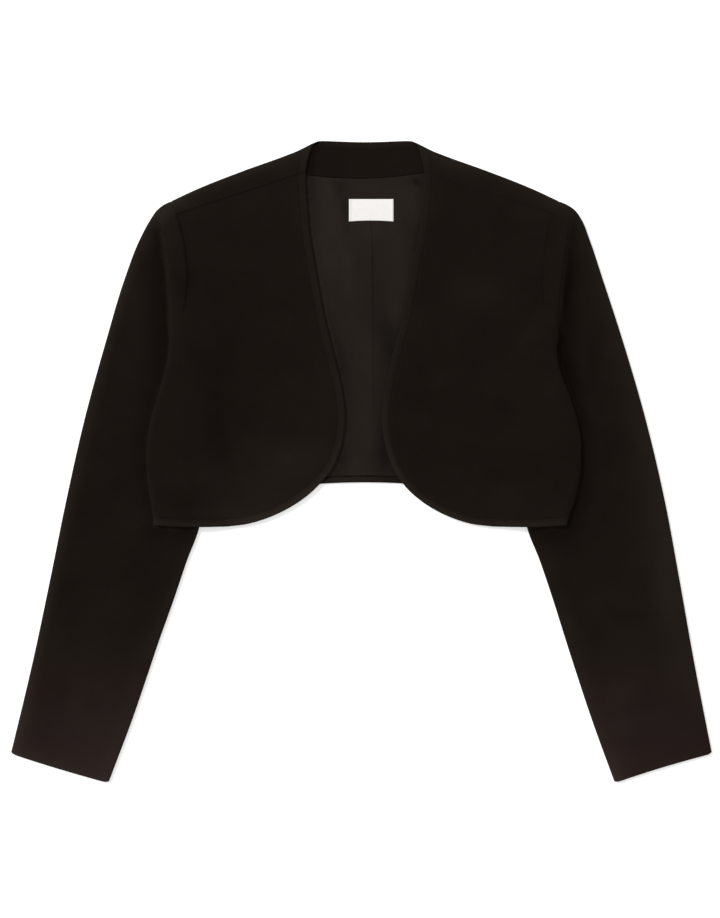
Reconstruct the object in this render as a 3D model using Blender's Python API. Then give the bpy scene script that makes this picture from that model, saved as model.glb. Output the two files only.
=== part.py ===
"""A cropped bolero shrug, laid flat on its back with the fronts uppermost.

Every piece that a maker would cut is one closed cloth wall. Plans are drawn in
millimetres as it lies: "down" is the distance below the top of the neck, "out"
the distance from the garment's middle, and "lean" how far the cloth has slid
towards the wearer's right. The world frame is metres, +Y towards the neck and
+Z up from the surface that it lies on.
"""

import math

import bmesh
import bpy
import numpy as np

MM = 0.001

# Heights of the layers above the surface, in millimetres.
CLOTH = 1.6
GAP = 0.3
LINING_CLOTH = 1.0
LABEL_CLOTH = 1.0
INSIDE_LOW = CLOTH + GAP
INSIDE_TOP = INSIDE_LOW + LINING_CLOTH
LABEL_LOW = INSIDE_TOP + GAP
FRONT_LOW = 3.4
LAID_TOP = 5.6
SLEEVE_TOP = 4.4
BODY_LIFT = 4.8

# How the body steps down off the sleeve that lies behind its side.
LIFT_PLATEAU = 3.0
LIFT_RAMP = 32.0

# Seams and small cut sizes.
ARMHOLE_GAP = 0.4
HEM_TURNUP = 5.8
TURNUP_STEP = 0.4
LINING_TO_TURNUP = 1.0
FACING_TO_LINING = 0.4

# The fronts' side edges come down to meet the back's.
SIDE_EDGE_DROP = 1.0

# The soft ridge along the armhole, where the sleeve cap folds over its own sleeve.
CAP_RIDGE = 1.6
CAP_VALLEY = 0.7
CAP_DROP = 4.0
CAP_REACH = 20.0
CAP_ROUNDING = 1.5

# Stretches down the sleeve over which something eases in. Columns: from, over.
SLEEVE_THINS = (70.0, 60.0)
SEAM_THINS = (165.0, 37.0)
RIDGE_RISES = (72.0, 34.0)
RIDGE_ENDS = (164.0, 28.0)

LABEL_WIDTH = 48.0
LABEL_HEIGHT = 25.0
LABEL_DOWN = 58.8
LABEL_ACROSS = 6.5
LABEL_BOW = 1.0

PLEAT_ACROSS = 5.5
PLEAT_HEIGHT = 0.6
PLEAT_RISES = (88.0, 30.0)
PLEAT_ENDS = (200.0, 110.0)
PLEAT_FOLD_WIDTH = 3.0
PLEAT_SLOPE_WIDTH = 26.0

# Columns: down, out, lean.
SHOULDER_LINE = [
    (-0.7, 48.5, 0.0),
    (4.5, 59.5, 0.0),
    (8.9, 68.0, 0.0),
    (14.7, 82.5, 0.0),
    (30.1, 125.3, 0.0),
    (51.0, 178.0, 0.0),
    (61.9, 201.2, 0.0),
]
SLEEVE_OUTER_EDGE = [
    (61.9, 201.2, 0.0),
    (66.0, 210.2, -0.5),
    (71.2, 217.2, -1.0),
    (81.6, 224.5, -1.0),
    (102.4, 234.2, 0.4),
    (144.0, 249.1, 1.4),
    (206.4, 268.6, 0.6),
    (289.6, 292.1, -0.1),
    (372.8, 311.3, -0.5),
    (456.0, 327.5, 0.2),
    (539.2, 343.7, 1.6),
    (622.4, 361.7, 3.4),
    (636.6, 364.9, 3.7),
]
SLEEVE_INNER_EDGE = [
    (202.3, 201.9, 1.2),
    (232.0, 192.5, 2.0),
    (269.0, 182.0, 2.0),
    (310.5, 171.5, 2.0),
    (352.0, 165.0, 2.0),
    (378.0, 166.5, 1.9),
    (402.0, 170.6, 1.9),
    (435.2, 183.2, 1.7),
    (476.8, 197.3, 1.7),
    (518.4, 211.3, 2.6),
    (560.0, 225.0, 2.9),
    (601.6, 239.1, 3.1),
    (643.2, 254.4, 3.4),
    (667.2, 263.3, 3.5),
]
ARMHOLE = [
    (61.9, 201.2, 0.0),
    (68.6, 198.6, 0.0),
    (75.9, 196.1, 0.0),
    (94.0, 190.5, 0.0),
    (112.8, 186.7, 0.0),
    (139.5, 184.9, 0.0),
    (159.6, 185.6, 0.1),
    (169.0, 186.7, 0.2),
    (178.4, 189.2, 0.4),
    (186.7, 194.6, 0.8),
    (195.0, 199.6, 1.1),
    (202.3, 201.9, 1.2),
]
FORWARD_SEAM_AT = 2
SIDE_EDGE = [
    (202.3, 201.9, 1.2),
    (216.8, 201.4, 2.6),
    (227.2, 202.3, 2.7),
    (237.6, 204.9, 2.7),
    (248.0, 208.0, 2.7),
    (268.8, 215.0, 2.2),
    (289.6, 221.4, 1.5),
    (310.4, 225.0, 1.5),
    (331.2, 225.6, 2.0),
    (352.0, 224.0, 2.4),
    (372.8, 220.3, 3.0),
    (390.5, 215.5, 4.2),
    (399.0, 213.6, 4.4),
]
FORWARD_SEAM = [
    (75.9, 196.1, 0.0),
    (61.6, 152.5, 0.0),
    (51.4, 120.4, 0.0),
    (43.0, 94.0, 0.0),
    (31.7, 61.3, 0.0),
]
NECK_TO_SEAM = [
    (-0.7, 48.5, 0.0),
    (5.4, 53.6, 0.0),
    (11.3, 57.3, 0.0),
    (21.3, 60.2, 0.0),
    (31.7, 61.3, 0.0),
]
FRONT_EDGE = [
    (31.7, 61.3, 0.0),
    (44.0, 61.1, 0.0),
    (60.8, 60.0, 0.0),
    (92.0, 56.7, 0.6),
    (133.6, 49.3, 1.3),
    (185.6, 39.7, 1.2),
    (227.2, 28.9, 1.7),
    (268.8, 20.1, 1.4),
    (284.4, 19.0, 1.3),
    (300.0, 19.6, 1.4),
    (320.8, 23.8, 1.5),
    (341.6, 32.0, 2.3),
    (352.0, 39.7, 3.3),
    (362.4, 48.9, 4.0),
    (372.8, 61.1, 4.4),
    (383.2, 77.5, 4.9),
    (391.5, 95.5, 5.2),
    (397.8, 116.1, 5.4),
    (400.6, 138.0, 5.0),
]
FRONT_HEM = [
    (399.0, 213.6, 4.4),
    (400.6, 190.0, 4.6),
    (401.0, 165.0, 4.8),
    (400.6, 138.0, 5.0),
]
BACK_HEM = [
    (399.0, 213.6, 4.4),
    (399.4, 185.0, 4.0),
    (396.5, 157.0, 3.5),
    (387.0, 125.8, 3.0),
    (372.8, 94.5, 2.0),
    (360.8, 63.5, 1.0),
    (356.0, 45.0, 0.5),
]
FACING_SIDE = [
    (2.2, 46.5, 0.0),
    (6.5, 56.0, 0.0),
    (14.0, 63.0, 0.0),
    (25.0, 66.0, 0.0),
    (35.0, 66.0, 0.0),
]
LINING_SIDE = [
    (35.3, 66.0, 0.0),
    (140.0, 84.0, 0.0),
    (366.0, 100.0, 0.0),
]
# The fold of the sleeve cap beside the armhole. Columns: down, out.
CAP_FOLD = [
    (60.0, 213.0),
    (82.7, 213.2),
    (102.4, 211.8),
    (123.2, 209.0),
    (144.0, 206.6),
    (164.8, 204.8),
    (185.6, 203.2),
    (202.3, 202.2),
]
NECK_DIP = 1.3
NECK_DIP_FADE = 0.4
FACING_DEPTH = 38.5
FACING_RISE = 4.0
FACING_TILT = 1.0
FACING_HALF_WIDTH = 57.0
BACK_HEM_MIDDLE = 354.6
HIDDEN_FOLD_END = 440.0

# How finely the pieces are divided.
ARMHOLE_ROWS = 13
SIDE_ROWS = (0.0, 0.045, 0.1, 0.17, 0.26, 0.37, 0.48, 0.58, 0.66, 0.73, 0.79, 0.85, 0.9, 0.95)
SIDE_COLUMNS = (0.0, 5.0, 15.0, 25.0, 35.0, 45.0, 55.0, 66.0, 78.0, 91.0)
WIDEST_SIDE_SHARE = 0.78
MIDDLE_COLUMNS = 5
BACK_MIDDLE_COLUMNS = (0.06, 0.28, 0.5, 0.72, 0.94)
TURNED_ROWS = 2
FOLD_STEPS = 4
FOLD_AIM = 0.2
SLEEVE_ROWS = 19
SLEEVE_COLUMNS = 9
SLEEVE_UNDER_COLUMNS = 4
SLEEVE_PACE = 0.98
EDGE_PULL = 6.0
CAP_CLEAR_OUTSIDE = 6.0
CAP_CLEAR_INSIDE = 3.0
CAP_FLANK = 12.0
CAP_FLANK_SHARE = 0.6
CAP_INSIDE_COLUMNS = 3
FACING_ROWS = 6
FACING_COLUMNS = 17
LINING_ROWS = 15
LINING_COLUMNS = (0.0, 0.15, 0.3, 0.42, 0.497, 0.523, 0.57, 0.65, 0.75, 0.87, 1.0)
LABEL_ROWS = 4
LABEL_COLUMNS = 9
LINE_POINTS = 41

BLACK = (0.0112, 0.0091, 0.0080, 1.0)
SATIN_BLACK = (0.0185, 0.0163, 0.0145, 1.0)
OFF_WHITE = (0.80, 0.79, 0.76, 1.0)


def smooth(t):
    """Eases from 0 to 1 as t goes from 0 to 1."""
    t = min(max(t, 0.0), 1.0)
    return t * t * (3.0 - 2.0 * t)


def eased(down, stretch):
    """Eases from 0 to 1 over a stretch that starts this far down and is this long."""
    start, over = stretch
    return smooth((down - start) / over)


def curve(rows, steps=12):
    """A smooth line through the rows of a table, as points close together."""
    points = np.array(rows, float)
    if len(points) == 2:
        return points
    at = np.concatenate([[0.0], np.cumsum(np.linalg.norm(np.diff(points, axis=0), axis=1))])
    slopes = np.diff(points, axis=0) / np.diff(at)[:, None]
    tangents = np.empty_like(points)
    tangents[0] = slopes[0]
    tangents[-1] = slopes[-1]
    before = np.diff(at)[:-1, None]
    after = np.diff(at)[1:, None]
    tangents[1:-1] = (slopes[:-1] * after + slopes[1:] * before) / (before + after)
    line = [points[0]]
    for i in range(len(points) - 1):
        span = at[i + 1] - at[i]
        for k in range(1, steps + 1):
            t = k / steps
            line.append(
                (2 * t**3 - 3 * t**2 + 1) * points[i]
                + (t**3 - 2 * t**2 + t) * span * tangents[i]
                + (3 * t**2 - 2 * t**3) * points[i + 1]
                + (t**3 - t**2) * span * tangents[i + 1]
            )
    return np.array(line)


def along(line, shares):
    """The points at these shares of a line's length."""
    steps = np.linalg.norm(np.diff(line[:, :2], axis=0), axis=1)
    at = np.concatenate([[0.0], np.cumsum(steps)])
    wanted = np.asarray(shares, float) * at[-1]
    return np.stack([np.interp(wanted, at, line[:, k]) for k in range(line.shape[1])], axis=1)


def length_of(line):
    return float(np.linalg.norm(np.diff(line[:, :2], axis=0), axis=1).sum())


def on_plan(side, rows):
    """Table rows as plan points: x is across, y is up the garment."""
    rows = np.asarray(rows, float)
    return np.stack([side * rows[:, 1] - rows[:, 2], -rows[:, 0]], axis=1)


def unit(vector):
    return vector / np.linalg.norm(vector)


def armhole_points():
    """The seam's points from the shoulder to the underarm, shared by the pieces that meet there."""
    top = [tuple(row) for row in ARMHOLE[:FORWARD_SEAM_AT]]
    rest = curve(ARMHOLE[FORWARD_SEAM_AT:])
    return np.concatenate([np.array(top), along(rest, np.linspace(0, 1, ARMHOLE_ROWS))])


def nearest(point, line):
    """The distance from a point to a line of plan points."""
    starts = line[:-1]
    spans = line[1:] - starts
    t = ((point - starts) * spans).sum(axis=1) / (spans * spans).sum(axis=1)
    foot = starts + np.clip(t, 0, 1)[:, None] * spans
    return float(np.linalg.norm(foot - point, axis=1).min())


def hidden_fold(side):
    """The sleeve's fold behind the body, from the underarm to just past the hem."""
    rows = [row for row in SLEEVE_INNER_EDGE if row[0] < HIDDEN_FOLD_END]
    return on_plan(side, curve(rows))


HIDDEN_FOLDS = {side: hidden_fold(side) for side in (-1, 1)}
CAP_FOLDS = {
    side: on_plan(side, [(down, out, 0.0) for down, out in curve(CAP_FOLD)]) for side in (-1, 1)
}
UNDERARM_DOWN = SIDE_EDGE[0][0]


def body_lift(point):
    """How high the body lies off the surface at a plan point."""
    side = 1 if point[0] > 0 else -1
    fold = HIDDEN_FOLDS[side]
    away = nearest(point, fold)
    if -point[1] > UNDERARM_DOWN:
        across = np.interp(-point[1], -fold[:, 1], side * fold[:, 0])
        if side * point[0] > across:
            away = -away
    return BODY_LIFT * (1.0 - smooth((away - LIFT_PLATEAU) / LIFT_RAMP))


def sleeve_top(side, point):
    """The height of a sleeve's upper face at a plan point."""
    down = -point[1]
    flat = LAID_TOP + (SLEEVE_TOP - LAID_TOP) * eased(down, SLEEVE_THINS)
    if down >= UNDERARM_DOWN:
        return flat
    fold = CAP_FOLDS[side]
    across = np.interp(down, -fold[:, 1], side * fold[:, 0])
    away = nearest(point, fold)
    seam_level = LAID_TOP + (SLEEVE_TOP - LAID_TOP) * eased(down, SEAM_THINS)
    strength = eased(down, RIDGE_RISES) * (1.0 - eased(down, RIDGE_ENDS))
    crest = seam_level + CAP_RIDGE * strength
    foot = flat - CAP_VALLEY * strength
    if side * point[0] < across:
        share = max(0.0, 1.0 - away / CAP_REACH)
        return seam_level + CAP_RIDGE * strength * share**CAP_ROUNDING
    if away < CAP_DROP:
        return crest + (foot - crest) * smooth(away / CAP_DROP)
    return foot + (flat - foot) * smooth((away - CAP_DROP) / (CAP_REACH - CAP_DROP))


class Cloth:
    """A cloth wall: each point has an outer and an inner face, and free edges are closed."""

    def __init__(self):
        self.outer = []
        self.inner = []
        self.quads = []

    def add(self, outer, inner):
        self.outer.append(tuple(float(v) for v in outer))
        self.inner.append(tuple(float(v) for v in inner))
        return len(self.outer) - 1

    def add_flat(self, plan, low, high, upside_down=False):
        """A point of a level layer. The back lies with its outer face down."""
        bottom = (plan[0], plan[1], low)
        top = (plan[0], plan[1], high)
        return self.add(bottom, top) if upside_down else self.add(top, bottom)

    def weave(self, rows):
        """Joins rows of points of the same length by faces."""
        for first, second in zip(rows[:-1], rows[1:]):
            for k in range(len(first) - 1):
                quad = (first[k], first[k + 1], second[k + 1], second[k])
                if len(set(quad)) > 2:
                    self.quads.append(quad)

    def rims(self):
        """The edges that only one face uses."""
        seen = {}
        for quad in self.quads:
            for a, b in zip(quad, quad[1:] + quad[:1]):
                if a != b:
                    seen.setdefault(frozenset((a, b)), []).append((a, b))
        return [uses[0] for uses in seen.values() if len(uses) == 1]

    def make(self, name, finish, parent):
        shift = len(self.outer)
        mesh = bpy.data.meshes.new(name)
        work = bmesh.new()
        verts = [work.verts.new([v * MM for v in p]) for p in self.outer + self.inner]
        for quad in self.quads:
            corners = list(dict.fromkeys(quad))
            work.faces.new([verts[i] for i in corners])
            work.faces.new([verts[i + shift] for i in reversed(corners)])
        for a, b in self.rims():
            work.faces.new([verts[b], verts[a], verts[a + shift], verts[b + shift]])
        bmesh.ops.recalc_face_normals(work, faces=work.faces)
        bmesh.ops.triangulate(work, faces=work.faces)
        work.to_mesh(mesh)
        work.free()
        mesh.shade_smooth()
        mesh.set_sharp_from_angle(angle=math.radians(40))
        mesh.materials.append(finish)
        piece = bpy.data.objects.new(name, mesh)
        piece.parent = parent
        bpy.context.scene.collection.objects.link(piece)
        return piece


def patch(top, bottom, left, right):
    """A function from shares across and along to plan points inside four edges."""

    def at(u, v):
        t, b = along(top, [u])[0], along(bottom, [u])[0]
        l, r = along(left, [v])[0], along(right, [v])[0]
        corners = (
            (1 - u) * (1 - v) * top[0] + u * (1 - v) * top[-1]
            + (1 - u) * v * bottom[0] + u * v * bottom[-1]
        )
        return (1 - v) * t + v * b + (1 - u) * l + u * r - corners

    return at


def side_rows(armhole, side_line):
    """Plan points down a body panel's outer edge: the armhole, then the side seam."""
    below = along(side_line, SIDE_ROWS[1:] + (1.0,))
    return np.concatenate([armhole, below])


def row_line(at, v):
    return np.array([at(u, v) for u in np.linspace(0.0, 1.0, LINE_POINTS)])


def column_shares(line):
    """Shares along a row: fixed distances next to its outer edge, then an even rest."""
    whole = length_of(line)
    scale = min(1.0, WIDEST_SIDE_SHARE * whole / SIDE_COLUMNS[-1])
    near = [d * scale / whole for d in SIDE_COLUMNS]
    rest = np.linspace(near[-1], 1.0, MIDDLE_COLUMNS + 1)[1:]
    return near + list(rest)


def grid(at, vs):
    """Rows of plan points of a panel, with its columns held close to the outer edge."""
    rows = []
    for v in vs:
        line = row_line(at, v)
        rows.append(along(line, column_shares(line)))
    return rows


def shares_of(points):
    at = np.concatenate([[0.0], np.cumsum(np.linalg.norm(np.diff(points, axis=0), axis=1))])
    return at / at[-1]


def neck_line(across):
    """How far down the neck's edge is between its corners."""
    corner_down, corner_out = SHOULDER_LINE[0][:2]
    return corner_down + NECK_DIP * (1.0 - (across / corner_out) ** 2)


def facing_edge(across):
    """How far down the neck facing reaches."""
    share = across / FACING_HALF_WIDTH
    return FACING_DEPTH - FACING_RISE * share**2 - FACING_TILT * share


def back_hem(across):
    """The back's hem between its two middle columns."""
    edge = BACK_HEM[-1]
    return BACK_HEM_MIDDLE + (edge[0] - BACK_HEM_MIDDLE) * (across / edge[1]) ** 2


def shoulder_shares(side):
    """Shares along the shoulder that its columns have, above the forward seam and below it."""
    return column_shares(on_plan(side, curve(SHOULDER_LINE))[::-1])


def turned_up(above, hem):
    """The two rows where a turned-up hem ends, one on it and one just off it."""
    spans = above - hem
    spans = spans / np.linalg.norm(spans, axis=1)[:, None]
    return [hem + spans * (HEM_TURNUP + TURNUP_STEP), hem + spans * HEM_TURNUP]


def back_side_panel(cloth, side, armhole):
    """One half of the back, from its side to the neck corner's column, with the shoulder wrap."""
    fold = LAID_TOP / 2.0
    silhouette = on_plan(side, curve(SHOULDER_LINE))[::-1]
    hem = on_plan(side, curve(BACK_HEM))
    left = side_rows(armhole, on_plan(side, curve(SIDE_EDGE)))
    neck_column = np.array([silhouette[-1], hem[-1]])
    at = patch(silhouette, hem, left, neck_column)
    rows = grid(at, shares_of(left))
    rows = rows[:-1] + turned_up(rows[-2], rows[-1]) + rows[-1:]
    made = []
    for r, row in enumerate(rows):
        if r == 0:
            made.append(None)
            continue
        line = []
        for k, place in enumerate(row):
            raised = r >= len(rows) - TURNED_ROWS and k > 0
            top = INSIDE_TOP if raised else CLOTH
            lift = body_lift(place)
            line.append(cloth.add_flat(place, lift, lift + top, True))
        made.append(line)
    seam = on_plan(side, curve(FORWARD_SEAM))
    edge = on_plan(side, curve(NECK_TO_SEAM))
    wrap = patch(silhouette, seam, armhole[: FORWARD_SEAM_AT + 1], edge)
    shares = shoulder_shares(side)
    arcs = [[] for _ in range(FOLD_STEPS + 1)]
    strip = [[] for _ in range(FORWARD_SEAM_AT + 1)]
    for u in shares:
        apex = wrap(u, 0.0)
        inward = unit(wrap(u, FOLD_AIM) - apex)
        for k in range(FOLD_STEPS + 1):
            angle = math.pi * (k / FOLD_STEPS - 0.5)
            outer = apex + inward * fold * (1.0 - math.cos(angle))
            inner = apex + inward * (fold - (fold - CLOTH) * math.cos(angle))
            arcs[k].append(
                cloth.add(
                    (*outer, fold + fold * math.sin(angle)),
                    (*inner, fold + (fold - CLOTH) * math.sin(angle)),
                )
            )
        for k in range(1, FORWARD_SEAM_AT + 1):
            place = wrap(u, k / FORWARD_SEAM_AT)
            if k == FORWARD_SEAM_AT:
                place = place - inward * GAP
            strip[k].append(cloth.add_flat(place, LAID_TOP - CLOTH, LAID_TOP))
    strip[0] = arcs[-1]
    made[0] = arcs[0]
    cloth.weave(made)
    cloth.weave(arcs)
    cloth.weave(strip)
    return made, rows


def make_back(armholes, finish, parent):
    cloth = Cloth()
    halves = {side: back_side_panel(cloth, side, armholes[side]) for side in (-1, 1)}
    left_rows, left_plan = halves[-1]
    right_rows, right_plan = halves[1]
    middle = []
    last = len(left_rows) - 1
    for r in range(last + 1):
        start = left_plan[r][-1]
        end = right_plan[r][-1]
        row = [left_rows[r][-1]]
        for u in BACK_MIDDLE_COLUMNS:
            place = start + u * (end - start)
            across = place[0]
            if r == 0:
                place = np.array([across, -neck_line(across)])
            elif r >= last - TURNED_ROWS:
                bow = back_hem(across) - BACK_HEM[-1][0]
                place = np.array([across, place[1] - bow])
            else:
                dip = NECK_DIP_FADE * (1 - r / last) * neck_line(across)
                place = np.array([across, place[1] - dip])
            top = INSIDE_TOP if r > last - TURNED_ROWS else CLOTH
            row.append(cloth.add_flat(place, 0.0, top, True))
        row.append(right_rows[r][-1])
        middle.append(row)
    cloth.weave(middle)
    return cloth.make("back", finish, parent)


def make_front(side, armhole, name, finish, parent):
    cloth = Cloth()
    seam = on_plan(side, curve(FORWARD_SEAM))
    hem = on_plan(side, curve(FRONT_HEM))
    edge = on_plan(side, curve(FRONT_EDGE))
    left = side_rows(armhole[FORWARD_SEAM_AT:], on_plan(side, curve(SIDE_EDGE)))
    at = patch(seam, hem, left, edge)
    rows = grid(at, shares_of(left))
    rows[0] = along(seam, shoulder_shares(side))
    made = []
    for row in rows:
        line = []
        for k, place in enumerate(row):
            lift = body_lift(place)
            low = FRONT_LOW
            high = LAID_TOP
            if k == 0 and -place[1] > UNDERARM_DOWN - GAP:
                low = INSIDE_LOW
                high = LAID_TOP - SIDE_EDGE_DROP
            line.append(cloth.add_flat(place, lift + low, lift + high))
        made.append(line)
    cloth.weave(made)
    return cloth.make(name, finish, parent)


def drawn_to(line, start):
    """A line whose first points are pulled over to begin at another point."""
    pull = np.exp(-np.arange(len(line)) / EDGE_PULL)
    return line + (start - line[0]) * pull[:, None]


def sleeve_row_ends(side, armhole):
    """For each row across a sleeve: its outer edge's point and its inner end's point."""
    seam = armhole.copy()
    tangents = np.gradient(seam, axis=0)
    normals = np.stack([tangents[:, 1], -tangents[:, 0]], axis=1)
    normals /= np.linalg.norm(normals, axis=1)[:, None]
    normals[normals[:, 0] * side < 0] *= -1
    seam = seam + normals * ARMHOLE_GAP
    outer_line = drawn_to(on_plan(side, curve(SLEEVE_OUTER_EDGE)), seam[0])
    inner_line = drawn_to(on_plan(side, curve(SLEEVE_INNER_EDGE)), seam[-1])
    underarm_share = SLEEVE_PACE * length_of(seam[1:]) / length_of(outer_line)
    outers = along(outer_line, shares_of(seam[1:]) * underarm_share)
    below = np.linspace(0.0, 1.0, SLEEVE_ROWS + 1)[1:]
    outers_below = along(outer_line, underarm_share + below * (1.0 - underarm_share))
    inners_below = along(inner_line, below)
    rows = [(q, n, True) for q, n in zip(outers[:-1], seam[1:-1])]
    rows += [(outers[-1], seam[-1], False)]
    rows += [(q, n, False) for q, n in zip(outers_below, inners_below)]
    return rows


def cap_fold_share(side, outer, inner):
    """How far in from the outer edge a row crosses the sleeve cap's fold, or None."""
    fold = CAP_FOLDS[side]
    for t in np.linspace(0.0, 1.0, LINE_POINTS):
        point = outer + t * (inner - outer)
        if side * point[0] < np.interp(-point[1], -fold[:, 1], side * fold[:, 0]):
            return t
    return None


def sleeve_columns(side, outer, inner, at_seam):
    """Distances from the outer edge to the upper face's points, the nearest one last."""
    width = float(np.linalg.norm(inner - outer))
    first = LAID_TOP / 2.0
    last = width if at_seam else width - SLEEVE_TOP / 2.0
    even = np.linspace(first, last, SLEEVE_COLUMNS)
    if not at_seam:
        return even
    share = cap_fold_share(side, outer, inner)
    if share is None:
        return even
    crest = share * width
    if crest < first + CAP_CLEAR_OUTSIDE or width - crest < CAP_CLEAR_INSIDE:
        return even
    foot = crest - CAP_DROP
    flank = max(foot - CAP_FLANK, first + CAP_FLANK_SHARE * (foot - first))
    outside = np.linspace(first, flank, SLEEVE_COLUMNS - 2 - CAP_INSIDE_COLUMNS)
    inside = np.linspace(crest, last, CAP_INSIDE_COLUMNS)
    return np.concatenate([outside, [0.5 * (flank + foot), foot], inside])


def make_sleeve(side, armhole, name, finish, parent):
    cloth = Cloth()
    made = []
    for outer, inner, at_seam in sleeve_row_ends(side, armhole):
        across = unit(inner - outer)
        distances = sleeve_columns(side, outer, inner, at_seam)
        upper = []
        for d in distances[::-1]:
            place = outer + across * d
            top = sleeve_top(side, place)
            upper.append(cloth.add_flat(place, top - CLOTH, top))
        height = sleeve_top(side, outer + across * distances[0])
        row = upper + fold_points(cloth, outer, across, height, range(1, FOLD_STEPS))
        lower_start = height / 2.0
        for d in np.linspace(lower_start, distances[-1], SLEEVE_UNDER_COLUMNS):
            place = outer + across * d
            row.append(cloth.add_flat(place, 0.0, CLOTH, True))
        if not at_seam:
            inner_height = sleeve_top(side, outer + across * distances[-1])
            back = fold_points(cloth, inner, -across, inner_height, range(1, FOLD_STEPS))
            row += back[::-1] + [row[0]]
        made.append(row)
    for first, second in zip(made[:-1], made[1:]):
        shared = min(len(first), len(second))
        cloth.weave([first[:shared], second[:shared]])
    return cloth.make(name, finish, parent)


def fold_points(cloth, edge, inward, height, steps):
    """The points round a sleeve's folded edge, from its upper face to its lower one."""
    outer_radius = height / 2.0
    inner_radius = outer_radius - CLOTH
    points = []
    for k in steps:
        angle = math.pi * (0.5 - k / FOLD_STEPS)
        outer = edge + inward * outer_radius * (1.0 - math.cos(angle))
        inner = edge + inward * (outer_radius - inner_radius * math.cos(angle))
        points.append(
            cloth.add(
                (*outer, outer_radius + outer_radius * math.sin(angle)),
                (*inner, outer_radius + inner_radius * math.sin(angle)),
            )
        )
    return points


def facing_side(side):
    """The facing's end under the shoulder, down to the facing's own lower edge."""
    line = on_plan(side, curve(FACING_SIDE))
    stretch = facing_edge(line[-1][0]) / FACING_SIDE[-1][0]
    line[:, 1] *= 1.0 + (stretch - 1.0) * np.linspace(0.0, 1.0, len(line))
    return line


def make_facing(finish, parent):
    cloth = Cloth()
    left = facing_side(-1)
    right = facing_side(1)
    spread = np.linspace(left[0][0], right[0][0], LINE_POINTS)
    top = np.array([(x, -neck_line(x)) for x in spread])
    top[0] = left[0]
    top[-1] = right[0]
    spread = np.linspace(left[-1][0], right[-1][0], LINE_POINTS)
    bottom = np.array([(x, -facing_edge(x)) for x in spread])
    at = patch(top, bottom, left, right)
    rows = []
    for v in np.linspace(0.0, 1.0, FACING_ROWS):
        row = [at(u, v) for u in np.linspace(0.0, 1.0, FACING_COLUMNS)]
        rows.append([cloth.add_flat(p, INSIDE_LOW, INSIDE_TOP) for p in row])
    cloth.weave(rows)
    return cloth.make("back_neck_facing", finish, parent)


def pleat(place):
    """How far the lining's centre pleat stands up at a plan point."""
    down = -place[1]
    depth = PLEAT_HEIGHT * eased(down, PLEAT_RISES) * (1.0 - eased(down, PLEAT_ENDS))
    away = place[0] - PLEAT_ACROSS
    if away < 0.0:
        return depth * (1.0 - smooth(-away / PLEAT_FOLD_WIDTH))
    return depth * (1.0 - smooth(away / PLEAT_SLOPE_WIDTH))


def make_lining(finish, parent):
    cloth = Cloth()
    left = on_plan(-1, curve(LINING_SIDE))
    right = on_plan(1, curve(LINING_SIDE))
    rows = []
    for v in np.linspace(0.0, 1.0, LINING_ROWS):
        start = along(left, [v])[0]
        end = along(right, [v])[0]
        row = []
        for u in LINING_COLUMNS:
            across = start[0] + u * (end[0] - start[0])
            top = facing_edge(across) + FACING_TO_LINING
            hem = lining_hem(across)
            place = (across, -(top + v * (hem - top)))
            rise = pleat(place)
            row.append(cloth.add_flat(place, INSIDE_LOW + rise, INSIDE_TOP + rise))
        rows.append(row)
    cloth.weave(rows)
    return cloth.make("back_lining", finish, parent)


def lining_hem(across):
    """Where the lining ends, just above the back's turned-up hem."""
    side = 1 if across > 0 else -1
    table = on_plan(side, curve(BACK_HEM))[::-1]
    if abs(across) < BACK_HEM[-1][1]:
        hem = back_hem(across)
    else:
        hem = float(np.interp(side * across, side * table[:, 0], -table[:, 1]))
    return hem - HEM_TURNUP - TURNUP_STEP - LINING_TO_TURNUP


def make_label(finish, parent):
    cloth = Cloth()
    rows = []
    for v in np.linspace(0.0, 1.0, LABEL_ROWS):
        row = []
        for u in np.linspace(-0.5, 0.5, LABEL_COLUMNS):
            bow = LABEL_BOW * v * (1.0 - 4.0 * u * u)
            place = (
                LABEL_ACROSS + u * LABEL_WIDTH,
                -(LABEL_DOWN + v * LABEL_HEIGHT - bow),
            )
            row.append(cloth.add_flat(place, LABEL_LOW, LABEL_LOW + LABEL_CLOTH))
        rows.append(row)
    cloth.weave(rows)
    return cloth.make("label", finish, parent)


def finish_of(name, colour, roughness):
    made = bpy.data.materials.new(name)
    made.use_nodes = True
    shader = made.node_tree.nodes["Principled BSDF"]
    shader.inputs["Base Color"].default_value = colour
    shader.inputs["Roughness"].default_value = roughness
    shader.inputs["Metallic"].default_value = 0.0
    return made


def main():
    for old in list(bpy.data.objects):
        bpy.data.objects.remove(old, do_unlink=True)
    outer_cloth = finish_of("black_double_knit", BLACK, 0.9)
    satin = finish_of("black_satin", SATIN_BLACK, 0.5)
    woven = finish_of("off_white_woven", OFF_WHITE, 0.8)
    garment = bpy.data.objects.new("garment", None)
    bpy.context.scene.collection.objects.link(garment)
    seam = armhole_points()
    armholes = {side: on_plan(side, seam) for side in (-1, 1)}
    pieces = [make_back(armholes, outer_cloth, garment)]
    for side, wearer in ((-1, "right"), (1, "left")):
        pieces.append(
            make_front(side, armholes[side], f"front_{wearer}", outer_cloth, garment)
        )
        pieces.append(
            make_sleeve(side, armholes[side], f"sleeve_{wearer}", outer_cloth, garment)
        )
    pieces.append(make_facing(outer_cloth, garment))
    pieces.append(make_lining(satin, garment))
    pieces.append(make_label(woven, garment))
    points = np.array([v.co[:] for piece in pieces for v in piece.data.vertices])
    middle = (points.min(axis=0) + points.max(axis=0)) / 2.0
    garment.location = (-middle[0], -middle[1], 0.0)


main()
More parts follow.
